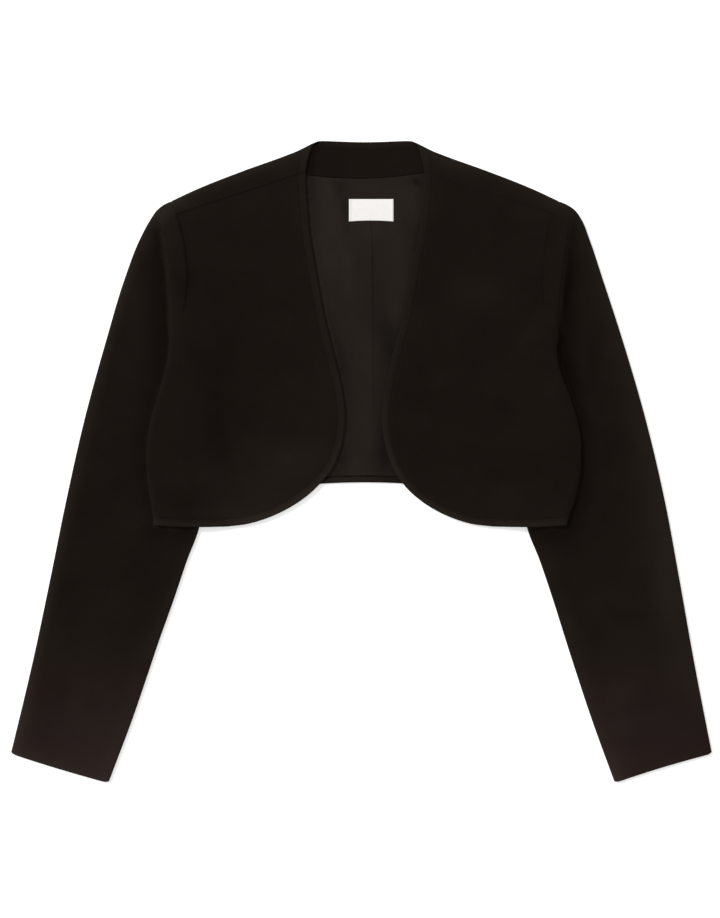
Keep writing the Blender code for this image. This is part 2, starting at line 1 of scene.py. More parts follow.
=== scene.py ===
"""A cropped bolero shrug laid flat: its cloth walls, seams, stitches, lining and label.

Plans are drawn in millimetres as it lies: "down" is the distance below the top of the
neck, "out" the distance from the garment's middle, and "lean" how far the cloth has slid
towards the wearer's right. Side -1 is the wearer's right and side 1 the wearer's left.
Lengths are in millimetres unless a comment says otherwise.
"""

import math

import bmesh
import bpy
import numpy as np
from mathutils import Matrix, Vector
from mathutils.geometry import delaunay_2d_cdt


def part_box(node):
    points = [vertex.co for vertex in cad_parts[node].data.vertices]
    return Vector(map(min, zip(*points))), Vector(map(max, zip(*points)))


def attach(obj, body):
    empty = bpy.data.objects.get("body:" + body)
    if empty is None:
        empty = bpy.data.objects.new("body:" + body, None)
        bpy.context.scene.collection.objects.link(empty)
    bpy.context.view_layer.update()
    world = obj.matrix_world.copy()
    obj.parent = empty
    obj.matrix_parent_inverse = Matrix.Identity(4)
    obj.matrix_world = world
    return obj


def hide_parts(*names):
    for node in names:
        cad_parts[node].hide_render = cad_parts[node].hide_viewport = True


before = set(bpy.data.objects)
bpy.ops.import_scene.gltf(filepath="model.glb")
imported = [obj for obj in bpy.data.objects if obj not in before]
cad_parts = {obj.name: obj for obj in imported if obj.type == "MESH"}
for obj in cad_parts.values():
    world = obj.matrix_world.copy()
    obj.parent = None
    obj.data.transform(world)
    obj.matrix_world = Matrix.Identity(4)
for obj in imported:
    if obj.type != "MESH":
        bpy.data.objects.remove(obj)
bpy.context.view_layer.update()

MM = 0.001
WEARER = {-1: "right", 1: "left"}

# ---------------------------------------------------------------- heights of the layers

CLOTH = 1.6
GAP = 0.3
LINING_CLOTH = 1.0
LABEL_CLOTH = 0.7
INSIDE_LOW = CLOTH + GAP
INSIDE_TOP = INSIDE_LOW + LINING_CLOTH
LABEL_LOW = INSIDE_TOP + GAP
FRONT_LOW = 3.4
LAID_TOP = 5.6
SLEEVE_TOP = 4.4
BODY_LIFT = 4.8
LIFT_PLATEAU = 3.0
LIFT_RAMP = 32.0

# ---------------------------------------------------------------- seams, bands and edges

SEAM_LAP = 0.1
HEM_TURNUP = 5.8
TURNUP_PAST, TURNUP_FALL = 0.2, 0.5
LINING_TO_TURNUP = 1.0
FACING_TO_LINING = 0.4
SIDE_ROLL = 5.5
SIDE_ROLL_DROP = 2.3
EDGE_ROUND = 1.2
SEAM_ROUND = 1.1
SEAM_SHARE = 0.62
# How deep the seams at the shoulder and armhole look on each side.
SEAM_DITCH = {-1: 0.6, 1: 0.38}
EDGE_NOTCH = 0.22
ON_EDGE = 0.02

# The pressed band along the free edges: its width, how it puffs up between its edge and its
# topstitching, the faint line pressed into it, and the groove and the swell at the stitching.
BAND = 8.3
BAND_PUFF = 0.42
PUFF_RISE, PUFF_FALL = 2.0, 2.6
BAND_LINE = 3.6
BAND_LINE_DEPTH, BAND_LINE_WIDTH = 0.12, 0.7
GROOVE = 0.09
GROOVE_WIDTH = 0.75
SWELL, SWELL_OUT, SWELL_WIDTH = 0.14, 2.6, 1.6
# The pulls beside the topstitching: their height, their width, and the waves that they add up.
PULL_HEIGHT, PULL_WIDTH = 0.05, 4.0
# Columns: how strong, waves across, waves up, where it starts.
PULL_WAVES = [(1.0, 0.61, 0.53, 0.0), (0.7, 0.37, -0.43, 1.3), (0.5, 1.07, 0.91, 0.4)]

STITCH_PITCH = 3.1
STITCH_LENGTH = 2.5
STITCH_THREAD = 0.42
STITCH_SEED = 7
STITCH_UNEVEN = (0.88, 1.06)
LABEL_STITCH_PITCH, LABEL_STITCH_LENGTH = 1.9, 1.5

# Distances from an edge where points are set, so that its rim, band and groove are round.
RIM_STEPS = (0.0, 0.12, 0.45, 1.0, 1.9)
BAND_STEPS = (0.0, 0.12, 0.45, 1.0, 1.8, 2.8, 4.0, 5.2, 6.4, 7.2, 7.8, 8.3, 8.8, 9.4, 10.4, 12.0)
HEM_STEPS = (0.0, 0.12, 0.45, 1.0, 2.2, 3.4, 4.4, 5.0, 5.5, 5.8, 6.1, 6.5, 7.5, 10.0)

# ---------------------------------------------------------------- the sleeve cap's ridge

CAP_RIDGE = 1.6
CAP_VALLEY = 0.7
CAP_DROP = 5.5
NARROW_DROP = 1.8
CAP_REACH = 20.0
CAP_ROUNDING = 1.5
# Stretches down the sleeve over which something eases in. Columns: from, over.
SLEEVE_THINS = (70.0, 60.0)
RIDGE_RISES = (72.0, 34.0)
RIDGE_ENDS = (164.0, 28.0)
DROP_NARROWS = (172.0, 30.0)
UNDERARM_DIP = 0.9
UNDERARM_REACH = 4.0

# ---------------------------------------------------------------- label and pleat

LABEL_WIDTH = 48.0
LABEL_HEIGHT = 25.0
LABEL_DOWN = 58.8
LABEL_ACROSS = 6.5
LABEL_BOW = 1.0
LABEL_FOLD = 3.0
LABEL_FOLD_HEIGHT, LABEL_FOLD_EDGE = 0.22, 0.7
LABEL_CROWN = 0.18
# How far the woven label's edges lie inside the place that it was cut for, and how many
# times that far below the place's top its own top lies.
LABEL_TRIM, LABEL_LOWER = 0.85, 1.4

PLEAT_HEIGHT = 0.7
PLEAT_RISES = (38.0, 36.0)
PLEAT_ENDS = (180.0, 130.0)
PLEAT_FOLD_WIDTH = 1.6
PLEAT_SLOPE_WIDTH = 26.0

# ---------------------------------------------------------------- outlines: down, out, lean

SHOULDER_LINE = [
    (-0.7, 48.5, 0), (4.5, 59.5, 0), (8.9, 68, 0), (14.7, 82.5, 0), (30.1, 125.3, 0),
    (51, 178, 0), (61.9, 201.2, 0),
]
SLEEVE_OUTER_EDGE = [
    (61.9, 201.2, 0), (66, 210.2, -0.5), (71.2, 217.2, -1), (81.6, 224.5, -1),
    (102.4, 234.2, 0.4), (144, 249.1, 1.4), (206.4, 268.6, 0.6), (289.6, 292.1, -0.1),
    (372.8, 311.3, -0.5), (456, 327.5, 0.2), (539.2, 343.7, 1.6), (622.4, 361.7, 3.4),
    (636.6, 364.9, 3.7),
]
SLEEVE_INNER_EDGE = [
    (202.3, 201.9, 1.2), (206.5, 196.5, 1.4), (214, 192, 1.8), (232, 188, 2), (269, 180, 2),
    (310.5, 171.5, 2), (352, 165, 2), (378, 166.5, 1.9), (402, 170.6, 1.9), (435.2, 183.2, 1.7),
    (476.8, 197.3, 1.7), (518.4, 211.3, 2.6), (560, 225, 2.9), (601.6, 239.1, 3.1),
    (643.2, 254.4, 3.4), (667.2, 263.3, 3.5),
]
HIDDEN_FOLD_END = 440.0
ARMHOLE = [
    (61.9, 201.2, 0), (68.6, 198.6, 0), (75.9, 196.1, 0), (94, 190.5, 0), (112.8, 186.7, 0),
    (139.5, 184.9, 0), (159.6, 185.6, 0.1), (169, 186.7, 0.2), (178.4, 189.2, 0.4),
    (186.7, 194.6, 0.8), (195, 199.6, 1.1), (202.3, 201.9, 1.2),
]
FORWARD_SEAM_AT = 2
SIDE_EDGE = [
    (202.3, 201.9, 1.2), (216.8, 201.4, 2.6), (227.2, 202.3, 2.7), (237.6, 204.9, 2.7),
    (248, 208, 2.3), (268.8, 215, 1.5), (289.6, 221.4, 1.1), (310.4, 225, 1.1),
    (331.2, 225.6, 1.4), (352, 224, 1.8), (372.8, 220.3, 2.6), (390.5, 215.6, 4.2),
    (399, 214.3, 5.1),
]
FORWARD_SEAM = [
    (75.9, 196.1, 0), (61.6, 152.5, 0), (51.4, 120.4, 0), (43, 94, 0), (31.7, 61.3, 0),
]
NECK_TO_SEAM = [
    (-0.7, 48.5, 0), (1.7, 52.4, 0), (5, 54.6, 0), (9.6, 56.4, 0), (17.2, 58.8, 0),
    (24.4, 60.4, 0), (31.7, 61.3, 0),
]
FRONT_EDGE = [
    (31.7, 61.3, 0), (44, 61.1, 0), (60.8, 60, 0), (92, 56.7, 0.6), (133.6, 49.3, 1.3),
    (185.6, 39.7, 1.2), (227.2, 28.9, 1.7), (268.8, 20.1, 1.4), (284.4, 19, 1.3),
    (300, 19.6, 1.4), (320.8, 23.8, 1.5), (341.6, 32, 2.3), (352, 39.7, 3.3), (362.4, 48.9, 4),
    (372.8, 61.1, 4.4), (383.2, 77.5, 4.9), (391.5, 95.5, 5.2), (397.8, 116.1, 5.4),
    (400.6, 138, 5),
]
FRONT_HEM = [(399, 214.3, 5.1), (400.6, 190, 4.6), (401, 165, 4.8), (400.6, 138, 5)]
BACK_HEM = [
    (399, 214.3, 5.1), (399.4, 185, 4), (396.5, 157, 3.5), (387, 125.8, 3), (372.8, 94.5, 2),
    (360.8, 63.5, 1), (356, 45, 0.5),
]
BACK_HEM_MIDDLE = 354.6
FACING_SIDE = [
    (-0.3, 46.2, 0), (1.7, 48.4, 0), (5.5, 55.6, 0), (9.8, 61, 0), (16, 65, 0), (25, 66, 0),
    (35, 66, 0),
]
LINING_SIDE = [(35.3, 66, 0), (140, 84, 0), (366, 100, 0)]
# The fold of the sleeve cap beside the armhole.
CAP_FOLD = [
    (60, 213, 0), (82.7, 213, 0), (102.4, 211, 0), (123.2, 207.8, 0), (144, 205.1, 0),
    (164.8, 203.4, 0.3), (185.6, 202.4, 0.8), (202.3, 201.9, 1.2),
]
NECK_DIP = 1.3
NECK_DIP_FADE = 0.4
FACING_DEPTH = 38.0
FACING_RISE = 4.0
FACING_TILT = 1.0
FACING_HALF_WIDTH = 57.0

# ---------------------------------------------------------------- soft creases
# Each is a trough or ridge with tapering ends.
# Columns: down and across at one end, down and across at the other, width, height.

FRONT_CREASES = {
    -1: [
        (252, -156, 338, -152, 11, -0.45), (240, -178, 350, -183, 15, 0.2),
        (300, -104, 372, -84, 24, 0.4), (190, -178, 236, -138, 9, 0.4),
        (118, -160, 176, -150, 16, -0.3), (340, -200, 388, -168, 12, 0.4),
        (352, -128, 380, -84, 13, 0.45), (150, -92, 226, -74, 17, 0.3),
    ],
    1: [
        (262, 148, 340, 156, 13, -0.45), (250, 176, 344, 184, 15, 0.2),
        (270, 112, 350, 104, 26, 0.25), (192, 180, 232, 146, 9, 0.4),
        (108, 164, 170, 152, 16, -0.3), (344, 196, 384, 164, 12, 0.35),
        (360, 120, 378, 82, 12, 0.35), (160, 96, 236, 82, 18, 0.3),
    ],
}
SLEEVE_CREASES = {
    -1: [
        (228, -262, 258, -216, 13, 0.35), (290, -280, 318, -238, 15, -0.4),
        (330, -296, 352, -252, 12, 0.4), (372, -246, 452, -268, 17, -0.35),
        (476, -322, 508, -262, 15, 0.35), (560, -300, 640, -318, 20, 0.4),
    ],
    1: [
        (224, 258, 262, 212, 14, 0.35), (282, 276, 312, 232, 15, -0.35),
        (340, 292, 366, 246, 13, 0.4), (392, 250, 470, 276, 18, -0.35),
        (494, 318, 522, 258, 14, 0.35), (566, 292, 644, 312, 20, 0.4),
    ],
}
LINING_CREASES = [
    (40, -33, 62, -22, 4.5, -0.4), (40, -42, 58, -31, 4, 0.3), (60, -19.5, 88, -18, 3, -0.35),
    (86, -22, 98, -14, 4, -0.35), (39, 50, 50, 63, 2.2, -0.45), (41, 46, 53, 58, 2.2, 0.35),
    (60, 34, 92, 30, 5, 0.25), (92, 30, 172, 22, 8, -0.3), (110, -30, 190, -20, 9, -0.2),
    (196, 12, 300, 9, 8, -0.3), (232, -10, 330, -6, 7, 0.25), (325, 26, 350, 26, 1.6, 0.35),
]
FACING_CREASES = [(16, -30, 34, -26, 7, 0.15), (14, 36, 34, 30, 8, 0.15)]

# ---------------------------------------------------------------- soft patches of painted light and shade
# Painted light and shade, with some of the cloth's uneven tone. Lighter where positive. Columns:
# down, across, half length, half width, amount.

FRONT_TONES = {
    -1: [
        (372, -100, 40, 60, 0.6), (322, -72, 30, 32, 0.5), (386, -135, 14, 60, 0.7),
        (292, -152, 55, 22, -0.15), (224, -148, 32, 26, -0.5), (284, -122, 30, 20, -0.35),
        (355, -184, 34, 20, -0.4), (64, -95, 30, 50, 0.25), (190, -120, 90, 60, 0.05),
        (250, -40, 75, 18, 0.4), (325, -52, 22, 20, 0.35), (140, -184, 16, 8, -0.6),
        (378, -182, 10, 16, -0.5), (347, -163, 12, 26, 0.35), (300, -83, 14, 18, -0.3),
        (100, -135, 26, 36, -0.2), (70, -184, 16, 20, 0.4), (394, -122, 8, 20, 0.8),
        (340, -80, 16, 34, 0.35), (213, -86, 20, 16, -0.25), (396, -190, 7, 26, -0.6),
        (150, -150, 30, 30, -0.12), (75, -71, 32, 9, 0.35), (133, -68, 14, 14, 0.3),
        (384, -146, 14, 14, 0.45), (362, -152, 12, 14, 0.35), (345, -188, 18, 18, 0.25),
        (284, -183, 26, 8, -0.3), (316, -120, 14, 12, 0.25), (328, -83, 8, 8, 0.35),
        (253, -72, 14, 14, 0.3), (305, -54, 12, 14, -0.3), (222, -33, 16, 8, -0.4),
        (170, -88, 12, 20, -0.2), (372, -76, 12, 20, 0.3), (120, -155, 24, 34, 0.2),
        (236, -95, 20, 50, -0.15),
    ],
    1: [
        (384, 150, 20, 70, 0.15), (292, 156, 55, 24, -0.1), (150, 120, 24, 40, 0.2),
        (348, 176, 30, 34, -0.4), (154, 120, 18, 34, 0.2), (74, 170, 16, 40, 0.25),
        (235, 80, 50, 44, -0.2), (350, 140, 10, 14, -0.3), (100, 90, 24, 24, -0.15),
        (312, 160, 20, 20, 0.2), (268, 50, 16, 14, -0.25), (246, 80, 12, 16, 0.25),
        (328, 112, 14, 26, -0.2), (320, 214, 14, 7, -0.3), (149, 182, 16, 12, -0.25),
        (255, 192, 16, 10, 0.35), (125, 165, 16, 20, 0.25), (364, 152, 12, 18, 0.3),
        (82, 145, 14, 20, -0.3), (40, 70, 30, 16, 0.35), (68, 66, 14, 9, 0.45),
        (160, 120, 16, 30, 0.3), (149, 74, 14, 14, -0.25), (190, 50, 18, 14, 0.3),
        (248, 146, 16, 12, 0.25), (283, 118, 14, 14, -0.25), (382, 195, 10, 16, 0.3),
        (70, 180, 10, 24, 0.25), (290, 52, 20, 20, 0.2),
    ],
}
SLEEVE_TONES = {
    -1: [
        (150, -240, 80, 30, 0.3), (560, -290, 90, 60, 0.25), (95, -198, 24, 10, 0.4),
        (330, -270, 16, 14, -0.25), (295, -276, 12, 16, 0.2), (352, -256, 22, 16, -0.3),
        (385, -282, 20, 20, -0.3), (400, -244, 24, 22, 0.35), (478, -262, 18, 20, 0.4),
        (535, -324, 30, 10, 0.25), (440, -235, 40, 20, -0.3), (508, -318, 26, 10, 0.3),
        (568, -318, 16, 14, -0.4), (610, -275, 36, 24, 0.5), (648, -290, 16, 40, 0.6),
        (628, -350, 20, 20, 0.7), (149, -193, 16, 8, -0.5), (316, -300, 16, 14, -0.25),
        (622, -338, 12, 12, -0.4), (596, -350, 14, 8, 0.4), (550, -229, 12, 6, -0.5),
        (586, -281, 12, 10, -0.3), (128, -234, 14, 8, -0.5), (146, -252, 16, 8, 0.5),
        (440, -305, 20, 14, 0.3), (436, -262, 16, 22, 0.25), (300, -188, 40, 10, 0.2),
        (470, -310, 26, 14, -0.3), (590, -320, 26, 16, -0.3),
    ],
    1: [
        (150, 240, 80, 30, 0.1), (500, 270, 100, 50, 0.3), (475, 315, 16, 16, 0.4),
        (285, 264, 14, 18, 0.3), (185, 221, 20, 8, -0.25), (478, 238, 16, 14, 0.3),
        (515, 240, 12, 10, -0.3), (430, 286, 12, 16, 0.3), (497, 314, 24, 12, 0.4),
        (608, 265, 16, 14, 0.5), (585, 265, 14, 22, 0.4), (572, 292, 10, 8, -0.5),
        (622, 310, 16, 44, -0.45), (620, 352, 24, 12, -0.5), (650, 262, 22, 14, 0.7),
        (586, 288, 10, 26, -0.45), (570, 262, 8, 18, 0.35), (664, 260, 6, 8, 0.8),
        (596, 272, 8, 20, -0.25), (243, 234, 18, 10, -0.35), (420, 215, 14, 14, -0.3),
        (443, 196, 10, 8, 0.4), (503, 212, 14, 8, 0.4), (326, 252, 14, 12, -0.3),
        (372, 246, 20, 14, -0.25), (545, 322, 14, 12, 0.3), (494, 284, 8, 24, -0.4),
        (452, 308, 30, 9, 0.4), (225, 238, 24, 10, -0.35), (214, 254, 10, 10, 0.35),
        (275, 285, 20, 16, -0.25),
    ],
}
# Painted light and shade at the tips of the shoulders, on the sleeve and on the body alike.
SHOULDER_LIGHT_AND_SHADE = {
    -1: [
        (65, -204, 13, 26, 1.4), (74, -216, 12, 12, 1.6), (16, -72, 14, 14, 0.3),
        (28, -88, 10, 18, 0.35),
    ],
    1: [
        (66, 203, 14, 22, 0.6), (60, 182, 12, 26, 0.3), (16, 84, 12, 26, 0.7),
        (28, 92, 12, 28, 0.3), (40, 148, 7, 30, -0.2), (57, 194, 7, 20, -0.5),
    ],
}
BACK_TONES = [(350, -30, 6, 12, 0.5), (352, -15, 8, 24, 1.1), (352, 27, 8, 18, -0.5)]
FACING_TONES = [(20, 0, 20, 60, 0.15), (24, -34, 12, 16, -0.25)]
LINING_TONES = [
    (100, -36, 62, 17, 0.95), (105, 34, 66, 16, 0.55), (180, -6, 170, 14, 0.2),
    (97, 42, 18, 8, -0.45), (206, 23, 34, 9, -0.75), (175, 0, 20, 12, -0.35),
    (66, -21, 9, 4, -0.4), (46, -24, 9, 4, -0.4), (42, 52, 4, 8, -0.8), (330, 19, 22, 9, -0.6),
    (118, -20, 12, 8, 0.3), (240, 7, 34, 6, 0.35), (225, -24, 40, 8, -0.4),
    (330, -23, 9, 6, -0.45), (55, -42, 18, 8, 0.3), (50, 5, 10, 20, 0.5), (88, 6, 10, 12, 0.4),
    (150, -18, 18, 8, 0.5), (145, 22, 30, 6, 0.3), (295, 3, 34, 6, 0.5), (52, 44, 14, 8, 0.3),
    (338, -10, 14, 12, 0.5), (66, 50, 16, 7, 0.45), (177, 31, 12, 8, 0.6),
    (190, 15, 16, 6, -0.25), (200, -22, 22, 8, 0.3), (94, 6, 8, 8, 0.4), (264, -13, 14, 8, -0.4),
    (126, -17, 8, 6, 0.4), (290, -18, 26, 8, 0.4), (225, 7, 16, 6, 0.35), (130, -8, 12, 9, -0.35),
    (106, -36, 10, 8, -0.35), (48, -22, 10, 8, -0.3), (84, -24, 10, 8, 0.25),
]

CREASE_SHADE = 0.5
LINING_SHADE = 0.9
# The share of its height that a crease keeps at its ends.
CREASE_ENDS = 0.25
# The painted light inside the cap's fold and the body's side edge, and the painted shadow that the
# body casts on the sleeve outside them.
# Columns: down, how light and how wide inside it, how dark and how wide outside it.
EDGE_LIGHT_AND_SHADE = {
    -1: [
        (60, 0, 12, 0, 6), (82, 0.8, 13, 0.3, 10), (104, 0.8, 14, 0.6, 16),
        (135, 0.5, 15, 0.8, 32), (165, 0.5, 15, 0.9, 36), (200, 0.5, 14, 0.9, 38),
        (235, 0.2, 10, 0.7, 40), (290, 0.2, 7, 0.5, 24), (330, 0.3, 5, 0.3, 20),
        (398, 0.4, 5, 0.3, 16),
    ],
    1: [
        (60, 0, 12, 0, 6), (85, 0.3, 12, 0.5, 11), (102, 0.2, 12, 0.7, 15), (134, 0, 12, 1.3, 24),
        (165, 0, 12, 1.5, 24), (196, -0.2, 6, 1, 28), (227, 0.1, 5, 1.4, 30),
        (250, 0, 5, 1.3, 28), (269, 0, 5, 1, 20), (310, 0, 5, 0.6, 20), (352, -0.1, 5, 0.8, 24),
        (398, 0.1, 5, 0.8, 26),
    ],
}
# How far from those lines, and from the fronts' hem, the shade takes to reach its full depth,
# and how dark the narrow line close beside them is.
SHADE_STARTS, LIGHT_STARTS = 4.0, 1.5
EDGE_CORE = {-1: 0.3, 1: 0.6}
HEM_CORE = 1.9
# The shade that the fronts' edges cast on the facing and the lining: how far down, how dark.
FRONT_SHADES = {
    -1: [(0, 1.1), (32, 1.1), (40, 0.8), (120, 0.4), (165, 0.3), (205, 0.6), (300, 0.7)],
    1: [
        (0, 0), (80, 0.3), (110, 0.5), (150, 0.1), (190, 0.5), (215, 0.5), (240, 0.1), (300, 0.5),
        (330, 0.6),
    ],
}
FRONT_SHADE_WIDTH = {-1: 7.0, 1: 8.0}
FRONT_SHADE_CORE = {-1: 1.4, 1: 0.0}
CORE_WIDTH = 1.5
CORE_AT, FRONT_CORE_AT = 1.0, 0.8
SHADE_FADES = 0.85
# The shade that the fronts' hem casts on the sleeves: how dark and how wide.
HEM_SHADE = {-1: (0.6, 24.0), 1: (0.7, 26.0)}
# Painted highlights along the sleeves' outer folded edges. Columns: down, how light, how wide.
OUTER_EDGE_HIGHLIGHT = {
    -1: [
        (61, 2, 8), (100, 2, 9), (165, 2.2, 7), (230, 2.3, 8), (310, 1.8, 9), (477, 2.2, 8),
        (612, 2, 8), (668, 2, 9),
    ],
    1: [
        (61, 1.3, 8), (100, 1, 9), (165, 0.9, 13), (310, 1.5, 20), (440, 1.6, 26), (540, 1.1, 24),
        (600, 0.4, 14), (668, 0, 12),
    ],
}
# Painted highlights along the sleeves' inner folded edges. Columns: down, how light, how wide.
INNER_EDGE_HIGHLIGHT = {
    -1: [(380, 0.3, 6), (470, 1, 12), (515, 1.3, 15), (560, 0.8, 16), (668, 0.8, 13)],
    1: [(380, 0.4, 9), (430, 0.6, 9), (500, 1, 14), (540, 1, 12), (668, 1.1, 9)],
}
# Painted highlights at the cuffs' edges and along the shoulders' folds: how light, and how wide.
CUFF_EDGE_HIGHLIGHT = {-1: 1.1, 1: 0.2}
SHOULDER_EDGE_HIGHLIGHT = {-1: (1.9, 7.5), 1: (1.4, 8.0)}
CUFF_HIGHLIGHT_WIDTH = 7.0
# The painted light on the pressed band: where its lighter ridge lies and how wide it is, where it
# fades out and over how far, and how wide the painted shade at its very edge is.
BAND_RIDGE = 2.6
BAND_RIDGE_WIDTH = 2.2
BAND_FADES = 12.0
BAND_FADE_WIDTH = 9.0
BAND_EDGE_WIDTH = 0.7
# The front's pressed band, its painted light and its painted shade. Columns: down, how light it
# is, how light its ridge, how dark its edge.
BAND_LIGHT_AND_SHADE = {
    -1: [
        (0, 0.7, 0.2, 0.4), (60, 0.8, 0, 0.4), (100, 0.9, 0.1, 0.4), (150, 0.8, 0.2, 0.2),
        (200, 0.8, 0.1, 0.1), (250, 0.8, 0.1, 0.1), (300, 0.9, 0.4, -0.3), (340, 1, 0.9, -0.2),
        (365, 1.2, 1.8, 0), (390, 1.1, 1.3, 0), (402, 0.8, 0.6, -0.8),
    ],
    1: [
        (0, 0.5, 0, 0.4), (60, 0.5, 0, 0.4), (90, 0.8, 0.1, 0.3), (160, 0.7, 0.1, 0.3),
        (260, 0.8, 0.2, 0.3), (290, 1, 0.6, 0.3), (340, 1.2, 0.9, 0.2), (392, 1, 1, 0.2),
        (402, 0.9, 0.7, -0.6),
    ],
}
# The same painted light and shade on the neck facing's band.
NECK_BAND_LIGHT_AND_SHADE = [(0, 0.5, 0.5, 0.4), (40, 0.5, 0.5, 0.4)]
SHOULDER_TONE = 0.15
FORWARD_SHADE = {-1: 0.4, 1: 0.1}
ARMHOLE_SHADE = {-1: 0.8, 1: 0.15}
# The back's turned-up hem is painted lighter, with a painted highlight on its ridge and painted
# shade at its very edge; the lining's hem has a painted highlight.
BACK_HEM_LIGHT, BACK_LIGHT_PAST = 0.7, 0.5
HEM_RIDGE = 2.8
HEM_RIDGE_LIGHT = 0.7
LINING_EDGE_LIGHT = 0.9
HEM_RIDGE_WIDTH = 1.1
HEM_EDGE_DARK, HEM_EDGE_WIDTH = 0.8, 0.9
SEAM_SHADE_WIDTH = 1.3
ARMHOLE_SHADE_WIDTH = 1.7

# ---------------------------------------------------------------- how finely pieces are divided

# How many points curved lines are drawn with: per row of a table, and in all.
CURVE_POINTS = 12
HEM_MIDDLE_POINTS, NECK_POINTS, ROW_POINTS, SEAM_POINTS = 13, 33, 61, 81
RIM_LEFT = 0.05
SHARP_ANGLE = 55.0
OUTLINE_STEP = 2.4
LATTICE_STEP = 3.4
LATTICE_CLEAR = 0.6
# Points of the triangulation that lie closer together than this are one point.
SAME_POINT = 1e-7
KEEP_INSIDE = 1
# The share of its distance that a shifted point keeps, unless it has come near another edge.
NEARLY = 0.97
CREASE_CLEAR = 14.0
FOLD_CLEAR = 9.0
SIDE_STEPS = (0.0, 0.12, 0.45, 1.0, 1.9, 4.0, 8.0, 12.0, 16.0, 20.0)
BACK_COLUMNS = 24
BACK_FIRST_ROW = 6.5
BACK_ROWS = 60
SHOULDER_STEPS = 13
# The steps of the shoulder's fold that the rim of the back's neck runs into.
NECK_CORNER = [6, 4, 2, 1]
STRIP_ROWS = 8
STRIP_FINE = 25
STRIP_RISE = 3.0
FOLD_AIM = 0.2
MIDDLE_COLUMNS = 26
HEM_BOW_EASES = (300.0, 40.0)
EDGE_PULL = 6.0
CAP_START = 7.2
CAP_ROWS = 46
UNDERARM_STEPS = (0.0, 1.0, 2.5)
SLEEVE_PACE = 0.98
SLEEVE_STEP = 5.0
SLEEVE_COLUMNS = 54
UNDER_COLUMNS = 22
SLEEVE_FOLD_STEPS = 11
UNDERARM_FOLD = 0.3
LEAST_REACH = 0.1
FOLD_SHARE = 0.45
SLEEVE_FOLD_CLOSE = 0.7
FACING_COLUMNS = 60
FACING_STEP = 2.0
LINING_STEP = 4.0
LINING_COLUMNS = 26
PLEAT_STEPS = (-5.0, -2.6, -1.4, -0.7, -0.2, 0.2, 0.6, 1.1, 1.8, 3.0, 5.0)
LABEL_STEP = 1.6
LABEL_STEPS = (0.0, 0.12, 0.45, 1.0, 2.0, 2.5, 3.0, 3.5)

# ---------------------------------------------------------------- small shapes

NECK_ROUND = 0.9
CUFF_ROUND = 0.9
LABEL_ROUND = 0.35
HEM_GROOVE, HEM_GROOVE_WIDTH = 0.3, 0.8
# Where the armhole's ditch flattens out (from, over) and how much of it goes.
DITCH_ENDS = (160.0, 18.0)
DITCH_FADES = 0.9
CUFF_BOW = {-1: 0.8, 1: -1.2}
CUFF_CORNER = 1.2
CUFF_CORNER_REACH = 3.0
CUFF_REACH = 40.0
FACING_PUFF = 0.6
FACING_CREASE_CLEAR = 6.0
FACING_ROUND = 0.7
# How a covered or sewn edge is rounded: its reach, and the outer and inner faces' shares.
FACING_LOWER_EDGE = (0.9, 0.8, 0.0)
LINING_EDGE = (0.8, 0.9, 0.0)
LINING_LAP = 0.4
LINING_LIGHT_WIDTH = 1.2
UNDER_LABEL, UNDER_LABEL_WIDTH = 0.8, 17.0
# How far from a line's ends its stitches stop, and how high their middles lie.
STITCH_CLEAR, NECK_STITCH_CLEAR, HEM_STITCH_CLEAR = 5.0, 0.5, 4.0
STITCH_SINK, HEM_STITCH_SINK = 0.12, 0.1
GUIDE_STEP = 2.0
LABEL_STITCH_IN, LABEL_STITCH_ENDS = 1.3, (0.07, 0.93)
LABEL_STITCH_POINTS = 24
# The centre pleat's fold. Columns: down, across.
PLEAT_LINE = [(36, 3.4), (58, 3.9), (100, 6.4), (180, 7.5), (366, 8)]

# ---------------------------------------------------------------- stage

FLOOR_SIZE = 14.0
FLOOR_HEIGHT = -0.0004
FLOOR_GLOW = 0.45
WHITE = (1.0, 1.0, 1.0, 1.0)
WORLD_STRENGTH = 0.56
LAMP_COLOUR = (1.0, 0.99, 0.98)
CAMERA_PLACE = (-0.0015, 0.00305, 2.2572)
CAMERA_LENS, CAMERA_SENSOR = 85.0, 36.0
# The key light is far off to the upper left. Its strength, spread and direction.
KEY_STRENGTH = 2.3
KEY_SPREAD = 18.0
KEY_FROM = (-1.5, 1.1, 1.65)

# ---------------------------------------------------------------- finishes (linear colours)

# The knit's darkest colour, and the lighter one that the painted light and shade and the cloth's
# uneven tone move it towards; then the same pair for the faded cuffs.
BLACK = (0.0024, 0.0006, 0.0001, 1.0)
BLACK_PALE_AND_LIT = (0.0200, 0.0153, 0.0119, 1.0)
BLACK_FADED = (0.0185, 0.0112, 0.0100, 1.0)
FADED_PALE_AND_LIT = (0.0330, 0.0225, 0.0200, 1.0)
# The satin's darkest colour, and the lighter one that the painted light and shade and its uneven
# tone move it towards.
SATIN = (0.0037, 0.0018, 0.0006, 1.0)
SATIN_LIGHT = (0.0178, 0.0122, 0.0092, 1.0)
THREAD = (0.0074, 0.0053, 0.0042, 1.0)
WOVEN = (0.94, 0.925, 0.90, 1.0)
WOVEN_SHADE = (0.84, 0.82, 0.79, 1.0)
PALE_THREAD = (0.70, 0.68, 0.64, 1.0)
PAPER = [(0.90, 0.90, 0.895, 1.0), (0.91, 0.91, 0.905, 1.0)]
KNIT_TONE = 0.33
KNIT_GLOSS = 0.03
KNIT_SHEEN, KNIT_SHEEN_TINT = 0.05, (1.0, 0.84, 0.72, 1.0)
SATIN_GLOSS = 0.08
SATIN_SHEEN, SATIN_SHEEN_TINT = 0.05, (1.0, 0.86, 0.76, 1.0)
